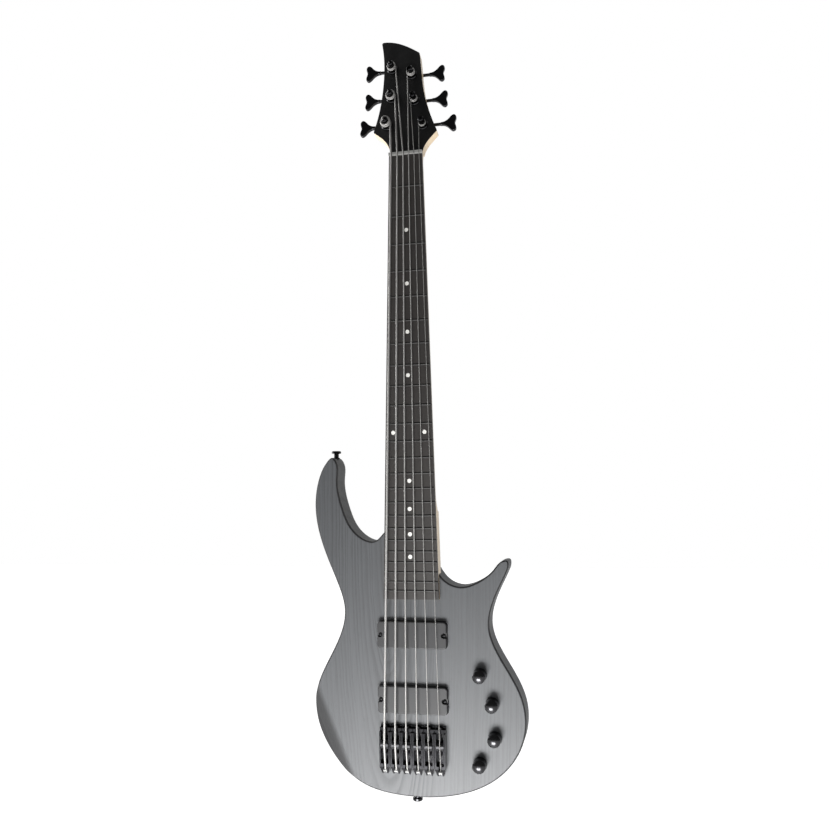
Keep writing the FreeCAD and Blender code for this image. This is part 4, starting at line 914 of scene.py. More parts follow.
def fret_tree() -> GrowTree:
    """Build the tree that lays fret wires a twelfth of an octave apart on an arched, tapered board.

    Returns:
        The tree, with inputs Prototype, Count, Scale Length, Saddle Height, Nut Width, Widening,
        Arch Radius, Face Level and Finish.
    """
    number = "NodeSocketFloat"
    tree = GrowTree("frets", {
        "Prototype": "NodeSocketObject", "Count": "NodeSocketInt", "Scale Length": number,
        "Saddle Height": number, "Nut Width": number, "Widening": number, "Arch Radius": number,
        "Face Level": number})
    graph, given = tree.graph, tree.given
    index = graph.math("ADD", graph.add("GeometryNodeInputIndex").outputs[0], 1.0)
    share = graph.math("POWER", 2.0, graph.math("DIVIDE", index, -SEMITONES))
    stop = graph.math("MULTIPLY", share, given["Scale Length"])
    height = graph.math("ADD", stop, given["Saddle Height"])
    line = graph.add("GeometryNodeMeshLine", {"Count": given["Count"]}).outputs[0]
    spot = graph.add("ShaderNodeCombineXYZ", {"Y": given["Face Level"], "Z": height}).outputs[0]
    spread = graph.add("GeometryNodeSetPosition", {"Geometry": line, "Position": spot}).outputs[0]
    from_nut = graph.math("SUBTRACT", given["Scale Length"], stop)
    width = graph.math("MULTIPLY_ADD", from_nut, given["Widening"], given["Nut Width"])
    size = graph.add("ShaderNodeCombineXYZ", {"X": width, "Y": 1.0, "Z": 1.0}).outputs[0]
    shape = graph.add("GeometryNodeObjectInfo", {"Object": given["Prototype"]}).outputs["Geometry"]
    wires = graph.add("GeometryNodeInstanceOnPoints", {"Points": spread, "Instance": shape,
                                                       "Scale": size}).outputs[0]
    real = graph.add("GeometryNodeRealizeInstances", {0: wires}).outputs[0]
    position = graph.add("GeometryNodeInputPosition").outputs[0]
    across = graph.add("ShaderNodeSeparateXYZ", {0: position}).outputs[0]
    radius = given["Arch Radius"]
    rest = graph.math("SUBTRACT", graph.math("MULTIPLY", radius, radius),
                      graph.math("MULTIPLY", across, across))
    fall = graph.math("SUBTRACT", radius, graph.math("SQRT", rest))
    bent = graph.add("GeometryNodeSetPosition", {
        "Geometry": real, "Offset": graph.add("ShaderNodeCombineXYZ", {"Y": fall}).outputs[0]}).outputs[0]
    tree.close(bent)
    return tree


def finished(mesh: bpy.types.Mesh, sharp_degrees: float = 35.0) -> bpy.types.Mesh:
    """Shade a mesh smooth, with its sharper edges kept crisp.

    Args:
        mesh: The mesh, which is changed in place.
        sharp_degrees: The angle from which an edge stays crisp.

    Returns:
        The same mesh.
    """
    mesh.shade_smooth()
    mesh.set_sharp_from_angle(angle=math.radians(sharp_degrees))
    return mesh


def from_bmesh(name: str, shape: bmesh.types.BMesh) -> bpy.types.Mesh:
    """Turn a working shape into a mesh with its faces outwards.

    Args:
        name: The mesh's name.
        shape: The working shape, which is used up.

    Returns:
        The mesh.
    """
    bmesh.ops.remove_doubles(shape, verts=shape.verts, dist=WELD_DISTANCE)
    bmesh.ops.recalc_face_normals(shape, faces=shape.faces)
    mesh = bpy.data.meshes.new(name)
    shape.to_mesh(mesh)
    shape.free()
    return mesh


def lathe(name: str, profile: Sequence[tuple[float, float]], steps: int) -> bpy.types.Mesh:
    """Turn a profile about the Z axis.

    Args:
        name: The mesh's name.
        profile: Radius and height of each corner, from pole to pole.
        steps: How many sides the turned shape has.

    Returns:
        The closed mesh.
    """
    shape = bmesh.new()
    rings = []
    for radius, height in profile:
        if radius == 0.0:
            rings.append([shape.verts.new((0.0, 0.0, height))] * steps)
            continue
        angles = [2 * math.pi * k / steps for k in range(steps)]
        rings.append([shape.verts.new((radius * math.cos(a), radius * math.sin(a), height))
                      for a in angles])
    for lower, upper in zip(rings, rings[1:]):
        for k in range(steps):
            corners = [lower[k], lower[(k + 1) % steps], upper[(k + 1) % steps], upper[k]]
            shape.faces.new(list(dict.fromkeys(corners)))
    return from_bmesh(name, shape)


def prism(name: str, outline: Sequence[tuple[float, float]], low: float, high: float,
          low_scale: float) -> bpy.types.Mesh:
    """Close a prism over an outline, drawn in towards its low end.

    Args:
        name: The mesh's name.
        outline: Corners in X and Y.
        low: Height of the low end.
        high: Height of the high end.
        low_scale: Size of the low end against the high one.

    Returns:
        The closed mesh.
    """
    shape = bmesh.new()
    foot = [shape.verts.new((x * low_scale, y * low_scale, low)) for x, y in outline]
    head = [shape.verts.new((x, y, high)) for x, y in outline]
    shape.faces.new(foot)
    shape.faces.new(head)
    for k in range(len(outline)):
        after = (k + 1) % len(outline)
        shape.faces.new([foot[k], foot[after], head[after], head[k]])
    return from_bmesh(name, shape)


@dataclass
class Screw:
    """A screw about Z, with its seat's face at the origin and its head outwards along +Z."""

    style: HeadStyle
    drive: Drive
    head_radius: float
    head_height: float
    shank_radius: float
    length: float
    drive_width: float
    drive_depth: float
    steps: int = 20
    dome_steps: int = 4
    edge_share: float = 0.08
    wing_share: float = 0.15
    taper_share: float = 0.6

    def profile(self) -> list[tuple[float, float]]:
        """Give the turned profile of head and shank.

        Returns:
            Radius and height of each corner, from the head's crown to the tip.
        """
        edge = self.head_radius * self.edge_share
        shank = [(self.shank_radius, -self.length + self.shank_radius), (0.0, -self.length)]
        if self.style is HeadStyle.GRUB:
            return [(0.0, 0.0), (self.head_radius - edge, 0.0), (self.head_radius, -edge),
                    (self.head_radius, -self.length), (0.0, -self.length)]
        if self.style is HeadStyle.COUNTERSUNK:
            return [(0.0, 0.0), (self.head_radius - edge, 0.0), (self.head_radius, -edge),
                    (self.shank_radius, -self.head_height)] + shank
        turns = [math.pi / 2 * k / self.dome_steps for k in range(self.dome_steps + 1)]
        dome = [(self.head_radius * math.sin(a), self.head_height * math.cos(a)) for a in turns]
        dome[0] = (0.0, self.head_height)
        return dome + [(self.shank_radius, 0.0)] + shank

    def recess_outline(self) -> list[tuple[float, float]]:
        """Give the driver's recess, a cross or a hexagon.

        Returns:
            Its corners in X and Y.
        """
        half = self.drive_width / 2
        if self.drive is Drive.HEX:
            angles = [2 * math.pi * k / self.drive.value for k in range(self.drive.value)]
            return [(half * math.cos(a), half * math.sin(a)) for a in angles]
        wing = self.drive_width * self.wing_share
        points = []
        for k in range(self.drive.value):
            turn = Matrix.Rotation(math.pi / 2 * k, 2)
            points += [tuple(turn @ Vector(point)) for point in ((half, -wing), (half, wing), (wing, wing))]
        return points

    def mesh(self, name: str) -> bpy.types.Mesh:
        """Turn the screw and sink the driver's recess into its head.

        Args:
            name: The mesh's name.

        Returns:
            The closed mesh.
        """
        crown = self.head_height if self.style is HeadStyle.PAN else 0.0
        scene = bpy.context.scene.collection.objects
        blank = bpy.data.objects.new(name + "_blank", lathe(name + "_blank", self.profile(), self.steps))
        cutter = prism(name + "_tool", self.recess_outline(), crown - self.drive_depth,
                       crown + self.drive_depth, self.taper_share)
        tool = bpy.data.objects.new(name + "_tool", cutter)
        scene.link(blank)
        scene.link(tool)
        cut = blank.modifiers.new("recess", "BOOLEAN")
        cut.object = tool
        cut.operation = "DIFFERENCE"
        cut.solver = "EXACT"
        depsgraph = bpy.context.evaluated_depsgraph_get()
        result = bpy.data.meshes.new_from_object(blank.evaluated_get(depsgraph), depsgraph=depsgraph)
        result.name = name
        bpy.data.objects.remove(blank)
        bpy.data.objects.remove(tool)
        return finished(result)


@dataclass(frozen=True)
class Handover:
    """Where a flexible piece goes over from the body that carries it to another body."""

    body: str
    start: Vector
    end: Vector


class Workshop:
    """The loaded frame, its finishes and the ways to add and dress pieces."""

    def __init__(self, frame: dict) -> None:
        """Keep the frame and make every finish once.
        """
        self.nodes = frame["nodes"]
        self.joints = {joint["name"]: joint for joint in frame["joints"]}
        self.effects = Effects()
        self.materials = {slot: finish.make(self.effects) for slot, finish in FINISHES.items()}
        self.scatterer = scatter_tree()
        self.dressed: set[str] = set()

    def dress(self, slot: Slot, *names: str, material: bpy.types.Material | None = None) -> None:
        """Give frame nodes a finish.

        Args:
            slot: The finish's slot.
            *names: The nodes.
            material: A material of its own kind, in place of the slot's.
        """
        for name in names:
            node = self.nodes[name]
            chosen = material or self.materials[slot]
            if not node.material_slots:
                node.data.materials.append(chosen)
            for place in node.material_slots:
                place.material = chosen
            self.dressed.add(name)
            LOG.info("dressed %s in %s", name, chosen.name)

    def add(self, name: str, mesh: bpy.types.Mesh, body: str, slot: Slot, *replaced: str,
            handover: Handover | None = None) -> bpy.types.Object:
        """Add a finished piece that rides on a body, or, given a handover, stays fixed in place.

        Args:
            name: The piece's name.
            mesh: Its mesh, in place.
            body: The body that carries it, when no handover is given.
            slot: The record's slot of its finish.
            *replaced: Frame nodes that it stands for.
            handover: Where it goes over to another body, if it does; the piece is then fixed in place, and
                the handover's body and places are not used.

        Returns:
            The piece's object.
        """
        piece = bpy.data.objects.new(name, mesh)
        bpy.context.scene.collection.objects.link(piece)
        if not mesh.materials:
            mesh.materials.append(self.materials[slot])
        if handover:
            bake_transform(piece)
        else:
            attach(piece, body)
        if replaced:
            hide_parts(*replaced)
            self.dressed.update(replaced)
        LOG.info("piece %s rides on %s, %d faces", name, body, len(mesh.polygons))
        return piece

    def scatter(self, name: str, prototype: bpy.types.Mesh, spots: Sequence[Spot], body: str, slot: Slot,
                *replaced: str) -> bpy.types.Object:
        """Set a prototype on each spot, as one piece.

        Args:
            name: The piece's name.
            prototype: The shape that repeats, outwards along its +Z.
            spots: Place and outward direction of each copy.
            body: The body that carries them.
            slot: The record's slot of their finish.
            *replaced: Frame nodes that they stand for.

        Returns:
            The piece's object.
        """
        points = bpy.data.meshes.new(name + "_points")
        points.from_pydata([tuple(place) for place, facing in spots], [], [])
        facings = points.attributes.new("facing", "FLOAT_VECTOR", "POINT")
        for row, (place, facing) in zip(facings.data, spots):
            row.vector = facing
        model = bpy.data.objects.new(name + "_model", prototype)
        bpy.context.scene.collection.objects.link(model)
        mesh = self.scatterer.grow(name, points, {"Prototype": model, "Finish": self.materials[slot]})
        bpy.data.objects.remove(model)
        return self.add(name, mesh, body, slot, *replaced)

    def islands(self, name: str, turn: Matrix = Matrix.Identity(3)) -> list[Box]:
        """Find the separate solids of a frame node.

        Args:
            name: The node.
            turn: Rotation to a frame in which the boxes are taken.

        Returns:
            Lowest and highest corner of each solid, in that frame.
        """
        shape = bmesh.new()
        shape.from_mesh(self.nodes[name].data)
        bmesh.ops.remove_doubles(shape, verts=shape.verts, dist=ISLAND_WELD)
        unseen = set(shape.verts)
        boxes = []
        while unseen:
            queue = [unseen.pop()]
            points = []
            while queue:
                vertex = queue.pop()
                points.append(turn @ vertex.co)
                fresh = [edge.other_vert(vertex) for edge in vertex.link_edges]
                fresh = [other for other in fresh if other in unseen]
                unseen.difference_update(fresh)
                queue += fresh
            columns = list(zip(*points))
            boxes.append((Vector([min(column) for column in columns]),
                          Vector([max(column) for column in columns])))
        shape.free()
        return sorted(boxes, key=lambda box: tuple(round(value, ISLAND_DIGITS) for value in box[0]))

    def joint_line(self, name: str) -> Spot:
        """Point and direction of a joint's axis."""
        joint = self.joints[name]
        return Vector(joint["pos_m"]), Vector(joint["axis"]).normalized()


def front_spots(boxes: Sequence[Box]) -> list[Spot]:
    """Front-facing spots on the foremost points of boxes."""
    return [(Vector(((low.x + high.x) / 2, low.y, (low.z + high.z) / 2)), FRONT) for low, high in boxes]


def back_spots(boxes: Sequence[Box]) -> list[Spot]:
    """Back-facing spots on the rearmost points of boxes."""
    return [(Vector(((low.x + high.x) / 2, high.y, (low.z + high.z) / 2)), BACK) for low, high in boxes]


@dataclass
class BodyAssembly:
    """Body, its control cover on the back and the screws that hold cover and neck."""

    cover_screw: Screw = field(default_factory=lambda: Screw(
        HeadStyle.COUNTERSUNK, Drive.CROSS, head_radius=0.0024, head_height=0.0012, shank_radius=0.0012,
        length=0.0114, drive_width=0.0026, drive_depth=0.0008))
    neck_screw: Screw = field(default_factory=lambda: Screw(
        HeadStyle.COUNTERSUNK, Drive.CROSS, head_radius=0.0046, head_height=0.0022, shank_radius=0.0025,
        length=0.0390, drive_width=0.0050, drive_depth=0.0016))

    def build(self, shop: Workshop) -> None:
        """Model the screws.

        Args:
            shop: The workshop.
        """
        shop.scatter("cover_screw_set", self.cover_screw.mesh("cover_screw"),
                     back_spots(shop.islands("cover_screws")), INSTRUMENT, Slot.SCREW, "cover_screws")
        shop.scatter("neck_screw_set", self.neck_screw.mesh("neck_screw"),
                     back_spots(shop.islands("neck_screws")), INSTRUMENT, Slot.SCREW, "neck_screws")

    def dress(self, shop: Workshop) -> None:
        """Dress the body and its fittings.

        Args:
            shop: The workshop.
        """
        shop.dress(Slot.BODY, "body")
        shop.dress(Slot.COVER, "control_cover")
        shop.dress(Slot.HARDWARE, "neck_ferrules")


@dataclass
class NeckAssembly:
    """Neck, fingerboard with its frets and dots, nut and headstock face."""

    fret_count: int = 24
    scale_length: float = 0.8636
    arch_radius: float = 0.508
    fret_width: float = 0.0027
    fret_height: float = 0.0012
    fret_inset: float = 0.0004
    fret_sink: float = 0.0004
    end_share: float = 0.35
    bevel_share: float = 0.012
    stations: int = 9
    crown_steps: int = 6
    crease_degrees: float = 50.0

    def fret_shape(self) -> bpy.types.Mesh:
        """Model one straight fret wire of unit length, with a round crown and bevelled ends.

        Returns:
            The wire's mesh, along X, with its seat on Y zero.
        """
        half = 0.5
        inner = half - self.bevel_share
        shares = [2 * k / (self.stations - 1) - 1 for k in range(self.stations)]
        places = [-half] + [inner * share for share in shares] + [half]
        shape = bmesh.new()
        rings = []
        for x in places:
            rise = self.fret_height * (self.end_share if abs(x) == half else 1.0)
            turns = [math.pi * k / self.crown_steps for k in range(self.crown_steps + 1)]
            section = [(-rise * math.sin(a), self.fret_width / 2 * math.cos(a)) for a in turns]
            section += [(self.fret_sink, -self.fret_width / 2), (self.fret_sink, self.fret_width / 2)]
            rings.append([shape.verts.new((x, y, z)) for y, z in section])
        for left, right in zip(rings, rings[1:]):
            for k in range(len(left)):
                after = (k + 1) % len(left)
                shape.faces.new([left[k], left[after], right[after], right[k]])
        shape.faces.new(rings[0])
        shape.faces.new(rings[-1])
        return finished(from_bmesh("fret_wire", shape), self.crease_degrees)

    def build(self, shop: Workshop) -> None:
        """Lay the fret wires on the board.

        Args:
            shop: The workshop.
        """
        board_low, board_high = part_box("fingerboard")
        nut_low, nut_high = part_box("nut")
        nut_width = nut_high.x - nut_low.x
        board_width = board_high.x - board_low.x
        model = bpy.data.objects.new("fret_model", self.fret_shape())
        bpy.context.scene.collection.objects.link(model)
        mesh = fret_tree().grow("fret_wires", bpy.data.meshes.new("fret_seed"), {
            "Prototype": model, "Count": self.fret_count, "Scale Length": self.scale_length,
            "Saddle Height": nut_low.z - self.scale_length, "Nut Width": nut_width - 2 * self.fret_inset,
            "Widening": (board_width - nut_width) / (board_high.z - board_low.z),
            "Arch Radius": self.arch_radius, "Face Level": board_low.y,
            "Finish": shop.materials[Slot.FRET]})
        bpy.data.objects.remove(model)
        shop.add("fret_wires", mesh, INSTRUMENT, Slot.FRET, "frets")

    def dress(self, shop: Workshop) -> None:
        """Dress the neck's woods, dots and nut.

        Args:
            shop: The workshop.
        """
        shop.dress(Slot.NECK, "neck")
        shop.dress(Slot.BOARD, "fingerboard")
        shop.dress(Slot.HEAD, "headstock_overlay")
        shop.dress(Slot.DOT, "position_dots")
        shop.dress(Slot.NUT, "nut")
        shop.dress(Slot.STEEL, "truss_rod")


@dataclass
class MachineHeads:
    """Six open-geared machine heads with their plates, bushings, screws, keys and posts."""

    plate_back: float = 0.0165
    gear_front: float = 0.0170
    plate_screw: Screw = field(default_factory=lambda: Screw(
        HeadStyle.PAN, Drive.CROSS, head_radius=0.0022, head_height=0.0010, shank_radius=0.0011,
        length=0.0090, drive_width=0.0024, drive_depth=0.0007))
    gear_screw: Screw = field(default_factory=lambda: Screw(
        HeadStyle.PAN, Drive.CROSS, head_radius=0.0029, head_height=0.0008, shank_radius=0.0014,
        length=0.0028, drive_width=0.0032, drive_depth=0.0007))
    gear_screw_level: float = -0.0239

    def build(self, shop: Workshop) -> None:
        """Model the plates' screws, and the screw in the middle of each gear wheel.

        Args:
            shop: The workshop.
        """
        post, out = shop.joint_line("tuner_post_turn_1")
        turn = Matrix((ACROSS, out.cross(ACROSS), out))
        seat = (turn @ post).z - self.plate_back
        spots = []
        for low, high in shop.islands("tuner_screws", turn):
            middle = (low + high) / 2
            spots.append((turn.transposed() @ Vector((middle.x, middle.y, seat)), -out))
        shop.scatter("tuner_screw_set", self.plate_screw.mesh("tuner_screw"), spots, INSTRUMENT, Slot.SCREW,
                     "tuner_screws")
        shape = self.gear_screw.mesh("gear_screw")
        for number in range(1, STRING_COUNT + 1):
            post, out = shop.joint_line("tuner_post_turn_%d" % number)
            shop.scatter("gear_screw_%d" % number, shape, [(post + out * self.gear_screw_level, -out)],
                         "post_%d" % number, Slot.SCREW)

    def dress(self, shop: Workshop) -> None:
        """Dress plates, bushings and keys in black plating, and posts with brass gears.

        Args:
            shop: The workshop.
        """
        shop.dress(Slot.HARDWARE, "tuner_plates", "tuner_bushings")
        post, out = shop.joint_line("tuner_post_turn_1")
        plating = FINISHES[Slot.HARDWARE]
        geared = GearedPost("post_and_gear", color=plating.color, roughness=plating.roughness,
                            metallic=plating.metallic, mottle_scale=plating.mottle_scale,
                            grit_depth=plating.grit_depth, axis=tuple(out),
                            gear_level=post.dot(out) - self.gear_front)
        material = geared.make(shop.effects)
        for number in range(1, STRING_COUNT + 1):
            shop.dress(Slot.HARDWARE, "tuner_key_%d" % number)
            shop.dress(Slot.HARDWARE, "tuner_post_%d" % number, material=material)


@dataclass
class StringSet:
    """Six wound strings from their ball ends over saddles and nut to the windings on the posts."""

    neck: NeckAssembly
    diameters: tuple[float, ...] = (0.00330, 0.00267, 0.00216, 0.00165, 0.00114, 0.00081)
    turns: tuple[float, ...] = (2.25, 2.25, 2.25, 2.75, 2.75, 3.25)
    sides: int = 10
    nut_action: float = 0.0005
    saddle_rise: float = 0.0043
    nut_margin_share: float = 0.078
    ball_height: float = 0.0086
    ball_stop: float = 0.0357
    ball_radius: float = 0.0027
    ball_waist: float = 0.0021
    ball_length: float = 0.0050
    ball_rim: float = 0.0004
    ball_flange: float = 0.0016
    ball_steps: int = 20
    saddle_bend: float = 0.015
    nut_bend: float = 0.020
    bend_steps: int = 6
    run_steps: int = 12
    drum_radius: float = 0.00495
    drum_foot: float = 0.00405
    winding_gap: float = 0.0006
    turn_steps: int = 20
    curl_steps: int = 8
    lead_in: float = 0.1
    tongue_steps: int = 2
    tongue_shares: tuple[float, ...] = (0.93, 0.93, 0.93, 0.84, 0.84, 0.80)
    tongue_slacks: tuple[float, ...] = (0.00005, 0.00005, 0.00005, 0.0011, 0.0011, 0.0011)

    def nut_places(self) -> list[float]:
        """Give the strings' places across the nut, with equal gaps between neighbours.

        Returns:
            The places, from bass to treble.
        """
        low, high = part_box("nut")
        edge = (high.x - low.x) * (0.5 - self.nut_margin_share)
        used = sum(self.diameters) - (self.diameters[0] + self.diameters[-1]) / 2
        gap = (2 * edge - used) / (len(self.diameters) - 1)
        places = [-edge]
        for one, two in zip(self.diameters, self.diameters[1:]):
            places.append(places[-1] + (one + two) / 2 + gap)
        return places

    def over_board(self, x: float, z: float, rise: float, diameter: float) -> Vector:
        """Give a string's centre over the frets.

        Args:
            x: Place across the board.
            z: Height along the instrument.
            rise: Room under the string.
            diameter: The string's diameter.

        Returns:
            The centre.
        """
        arch = self.neck.arch_radius
        fall = arch - math.sqrt(arch ** 2 - x ** 2)
        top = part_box("fingerboard")[0].y
        return Vector((x, top + fall - self.neck.fret_height - rise - diameter / 2, z))

    def bend(self, before: Vector, corner: Vector, after: Vector, radius: float) -> list[Vector]:
        """Round a corner of a string's run.

        Args:
            before: A point of the run towards the corner.
            corner: The corner.
            after: A point of the run away from it.
            radius: The bend's radius.

        Returns:
            Points along the bend.
        """
        way_in = (corner - before).normalized()
        way_out = (after - corner).normalized()
        angle = way_in.angle(way_out)
        start = corner - way_in * (radius * math.tan(angle / 2))
        inward = (way_out - way_in * way_in.dot(way_out)).normalized()
        turns = [angle * k / self.bend_steps for k in range(self.bend_steps + 1)]
        return [start + way_in * (radius * math.sin(a)) + inward * (radius * (1 - math.cos(a)))
                for a in turns]

    def winding(self, shop: Workshop, i: int, nut_point: Vector) -> list[Vector]:
        """Wind a string up its post and curl its end into the slot.

        Args:
            shop: The workshop.
            i: The string, counted from the bass side.
            nut_point: Its centre over the nut.

        Returns:
            Points from where it meets the post to its end on the post's axis.
        """
        post, out = shop.joint_line("tuner_post_turn_%d" % (i + 1))
        turn = Matrix((ACROSS, out.cross(ACROSS), out))
        diameter = self.diameters[i]
        radius = self.drum_radius + diameter / 2
        sense = 1.0 if i < STRING_COUNT / 2 else -1.0
        start = self.drum_foot + diameter / 2
        run = -(turn @ (nut_point - post)).xy
        heading = math.atan2(run.y, run.x) - sense * math.asin(radius / run.length)
        first = heading - sense * math.pi / 2
        local = []
        steps = round(self.turns[i] * self.turn_steps)
        for k in [0, self.lead_in, *range(1, steps + 1)]:
            share = k / self.turn_steps
            angle = first + sense * 2 * math.pi * share
            local.append(Vector((radius * math.cos(angle), radius * math.sin(angle),
                                 start + share * (diameter + self.winding_gap))))
        last = first + sense * 2 * math.pi * self.turns[i]
        middle = Vector((math.cos(last), math.sin(last))) * (radius / 2)
        for k in range(1, self.curl_steps + 1):
            angle = last + sense * math.pi * k / self.curl_steps
            spot = middle + Vector((math.cos(angle), math.sin(angle))) * (radius / 2)
            local.append(Vector((spot.x, spot.y, local[steps + 1].z)))
        back = turn.transposed()
        return [post + back @ point for point in local]

    def path(self, shop: Workshop, i: int) -> tuple[list[Vector], list[Vector], list[Vector]]:
        """Follow one string from end to end.

        Args:
            shop: The workshop.
            i: The string, counted from the bass side.

        Returns:
            Points of its centre line: up to the saddle's crest, on over the nut, and round the post.
        """
        low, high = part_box("saddle_%d" % (i + 1))
        line = (low + high) / 2
        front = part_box("body")[0].y
        diameter = self.diameters[i]
        ball = Vector((line.x, front - self.ball_height, line.z - self.ball_stop))
        saddle = self.over_board(line.x, line.z, self.saddle_rise, diameter)
        nut = self.over_board(self.nut_places()[i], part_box("nut")[0].z, self.nut_action, diameter)
        wound = self.winding(shop, i, nut)
        over_saddle = self.bend(ball, saddle, nut, self.saddle_bend)
        over_nut = self.bend(saddle, nut, wound[0], self.nut_bend)
        run = [over_saddle[-1].lerp(over_nut[0], k / self.run_steps) for k in range(1, self.run_steps)]
        crest = self.bend_steps // 2
        return [ball] + over_saddle[:crest + 1], over_saddle[crest:] + run + over_nut, wound

    def draw(self, shop: Workshop, tree: GrowTree, name: str, points: list[Vector],
             gauges: list[float]) -> bpy.types.Mesh:
        """Draw a length of string out to its gauge.

        Args:
            shop: The workshop.
            tree: The tree that draws it.
            name: The mesh's name.
            points: Its centre line.
            gauges: The radius at each point.

        Returns:
            The mesh.
        """
        line = bpy.data.meshes.new(name + "_line")
        edges = [(k, k + 1) for k in range(len(points) - 1)]
        line.from_pydata([tuple(point) for point in points], edges, [])
        line.attributes.new("gauge", "FLOAT", "POINT").data.foreach_set("value", gauges)
        return tree.grow(name, line, {"Sides": self.sides, "Finish": shop.materials[Slot.STRING]})

    def ball_shape(self) -> bpy.types.Mesh:
        """Model a ball end: a waisted spool about Z.

        Returns:
            The spool's mesh.
        """
        half = self.ball_length / 2
        rim = self.ball_rim
        inner = half - self.ball_flange
        sides = [(0.0, -half), (self.ball_radius - rim, -half), (self.ball_radius, -half + rim),
                 (self.ball_radius, -inner), (self.ball_waist, -inner + rim)]
        profile = sides + [(radius, -height) for radius, height in reversed(sides)]
        return finished(lathe("ball_end", profile, self.ball_steps))

    def build(self, shop: Workshop) -> None:
        """Draw each string in three lengths, and the ball ends as one piece.

        The tail and the run stay fixed in place. The winding turns with the post, and
        a thinner tongue of the run goes a little way into it.

        Args:
            shop: The workshop.
        """
        tree = string_tree()
        balls = []
        for i, diameter in enumerate(self.diameters):
            number = i + 1
            saddle = "saddle_body_%d" % number
            tail, run, wound = self.path(shop, i)
            past_bend = self.bend_steps - self.bend_steps // 2
            stop = wound[0] + (run[-1] - wound[0]).normalized() * self.tongue_slacks[i]
            led = run + [stop] + wound[:1 + self.tongue_steps]
            full = diameter / 2
            slim = full * self.tongue_shares[i]
            gauges = [full] * (len(run) + 1) + [slim] * (1 + self.tongue_steps)
            name = "string_tail_%d" % number
            shop.add(name, self.draw(shop, tree, name, tail, [full] * len(tail)), INSTRUMENT, Slot.STRING,
                     "strings", handover=Handover(saddle, tail[0], tail[1]))
            name = "string_run_%d" % number
            shop.add(name, self.draw(shop, tree, name, led, gauges), saddle, Slot.STRING,
                     "strings", handover=Handover(INSTRUMENT, run[past_bend], run[past_bend + 1]))
            name = "string_winding_%d" % number
            shop.add(name, self.draw(shop, tree, name, wound, [full] * len(wound)), "post_%d" % number,
                     Slot.STRING, "strings")
            balls.append((tail[0], ACROSS))
        shop.scatter("ball_ends", self.ball_shape(), balls, INSTRUMENT, Slot.STEEL)


@dataclass
class Bridge:
    """Six single-string bridge units with saddles, intonation screws and their small screws."""

    base_screw: Screw = field(default_factory=lambda: Screw(
        HeadStyle.COUNTERSUNK, Drive.CROSS, head_radius=0.0034, head_height=0.0016, shank_radius=0.0018,
        length=0.0185, drive_width=0.0038, drive_depth=0.0012))
    height_screw: Screw = field(default_factory=lambda: Screw(
        HeadStyle.GRUB, Drive.HEX, head_radius=0.00125, head_height=0.0, shank_radius=0.00125,
        length=0.0085, drive_width=0.0014, drive_depth=0.0012, steps=16))
    height_screw_across: float = 0.0037
    height_screw_back: float = 0.0036
    height_screw_drop: float = 0.0013

    def build(self, shop: Workshop) -> None:
        """Model the wood screws and each saddle's two height screws.

        Args:
            shop: The workshop.
        """
        shop.scatter("bridge_screw_set", self.base_screw.mesh("bridge_screw"),
                     front_spots(shop.islands("bridge_screws")), INSTRUMENT, Slot.SCREW, "bridge_screws")
        shape = self.height_screw.mesh("height_screw")
        for number in range(1, STRING_COUNT + 1):
            low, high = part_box("saddle_%d" % number)
            middle = (low + high) / 2
            spots = [(Vector((middle.x + side * self.height_screw_across, low.y + self.height_screw_drop,
                              middle.z - self.height_screw_back)), FRONT) for side in (-1.0, 1.0)]
            shop.scatter("height_screws_%d" % number, shape, spots, "saddle_body_%d" % number, Slot.SCREW)

    def dress(self, shop: Workshop) -> None:
        """Dress the bases, saddles and intonation screws.

        Args:
            shop: The workshop.
        """
        shop.dress(Slot.HARDWARE, "bridge_bases")
        for number in range(1, STRING_COUNT + 1):
            shop.dress(Slot.SADDLE, "saddle_%d" % number)
            shop.dress(Slot.SCREW, "intonation_screw_%d" % number)


@dataclass
class Pickups:
    """Two soapbar pickups with their coils, magnets and screws."""

    screw: Screw = field(default_factory=lambda: Screw(
        HeadStyle.PAN, Drive.CROSS, head_radius=0.0029, head_height=0.0016, shank_radius=0.0016,
        length=0.0240, drive_width=0.0030, drive_depth=0.0010))

    def build(self, shop: Workshop) -> None:
        """Model the pickup screws.

        Args:
            shop: The workshop.
        """
        seats = [(place + BACK * self.screw.head_height, facing)
                 for place, facing in front_spots(shop.islands("pickup_screws"))]
        shop.scatter("pickup_screw_set", self.screw.mesh("pickup_screw"), seats, INSTRUMENT, Slot.SCREW,
                     "pickup_screws")

    def dress(self, shop: Workshop) -> None:
        """Dress the covers and what they hold.

        Args:
            shop: The workshop.
        """
        shop.dress(Slot.PICKUP, "pickup_covers")
        shop.dress(Slot.COIL, "pickup_coils")
        shop.dress(Slot.MAGNET, "pickup_magnets")


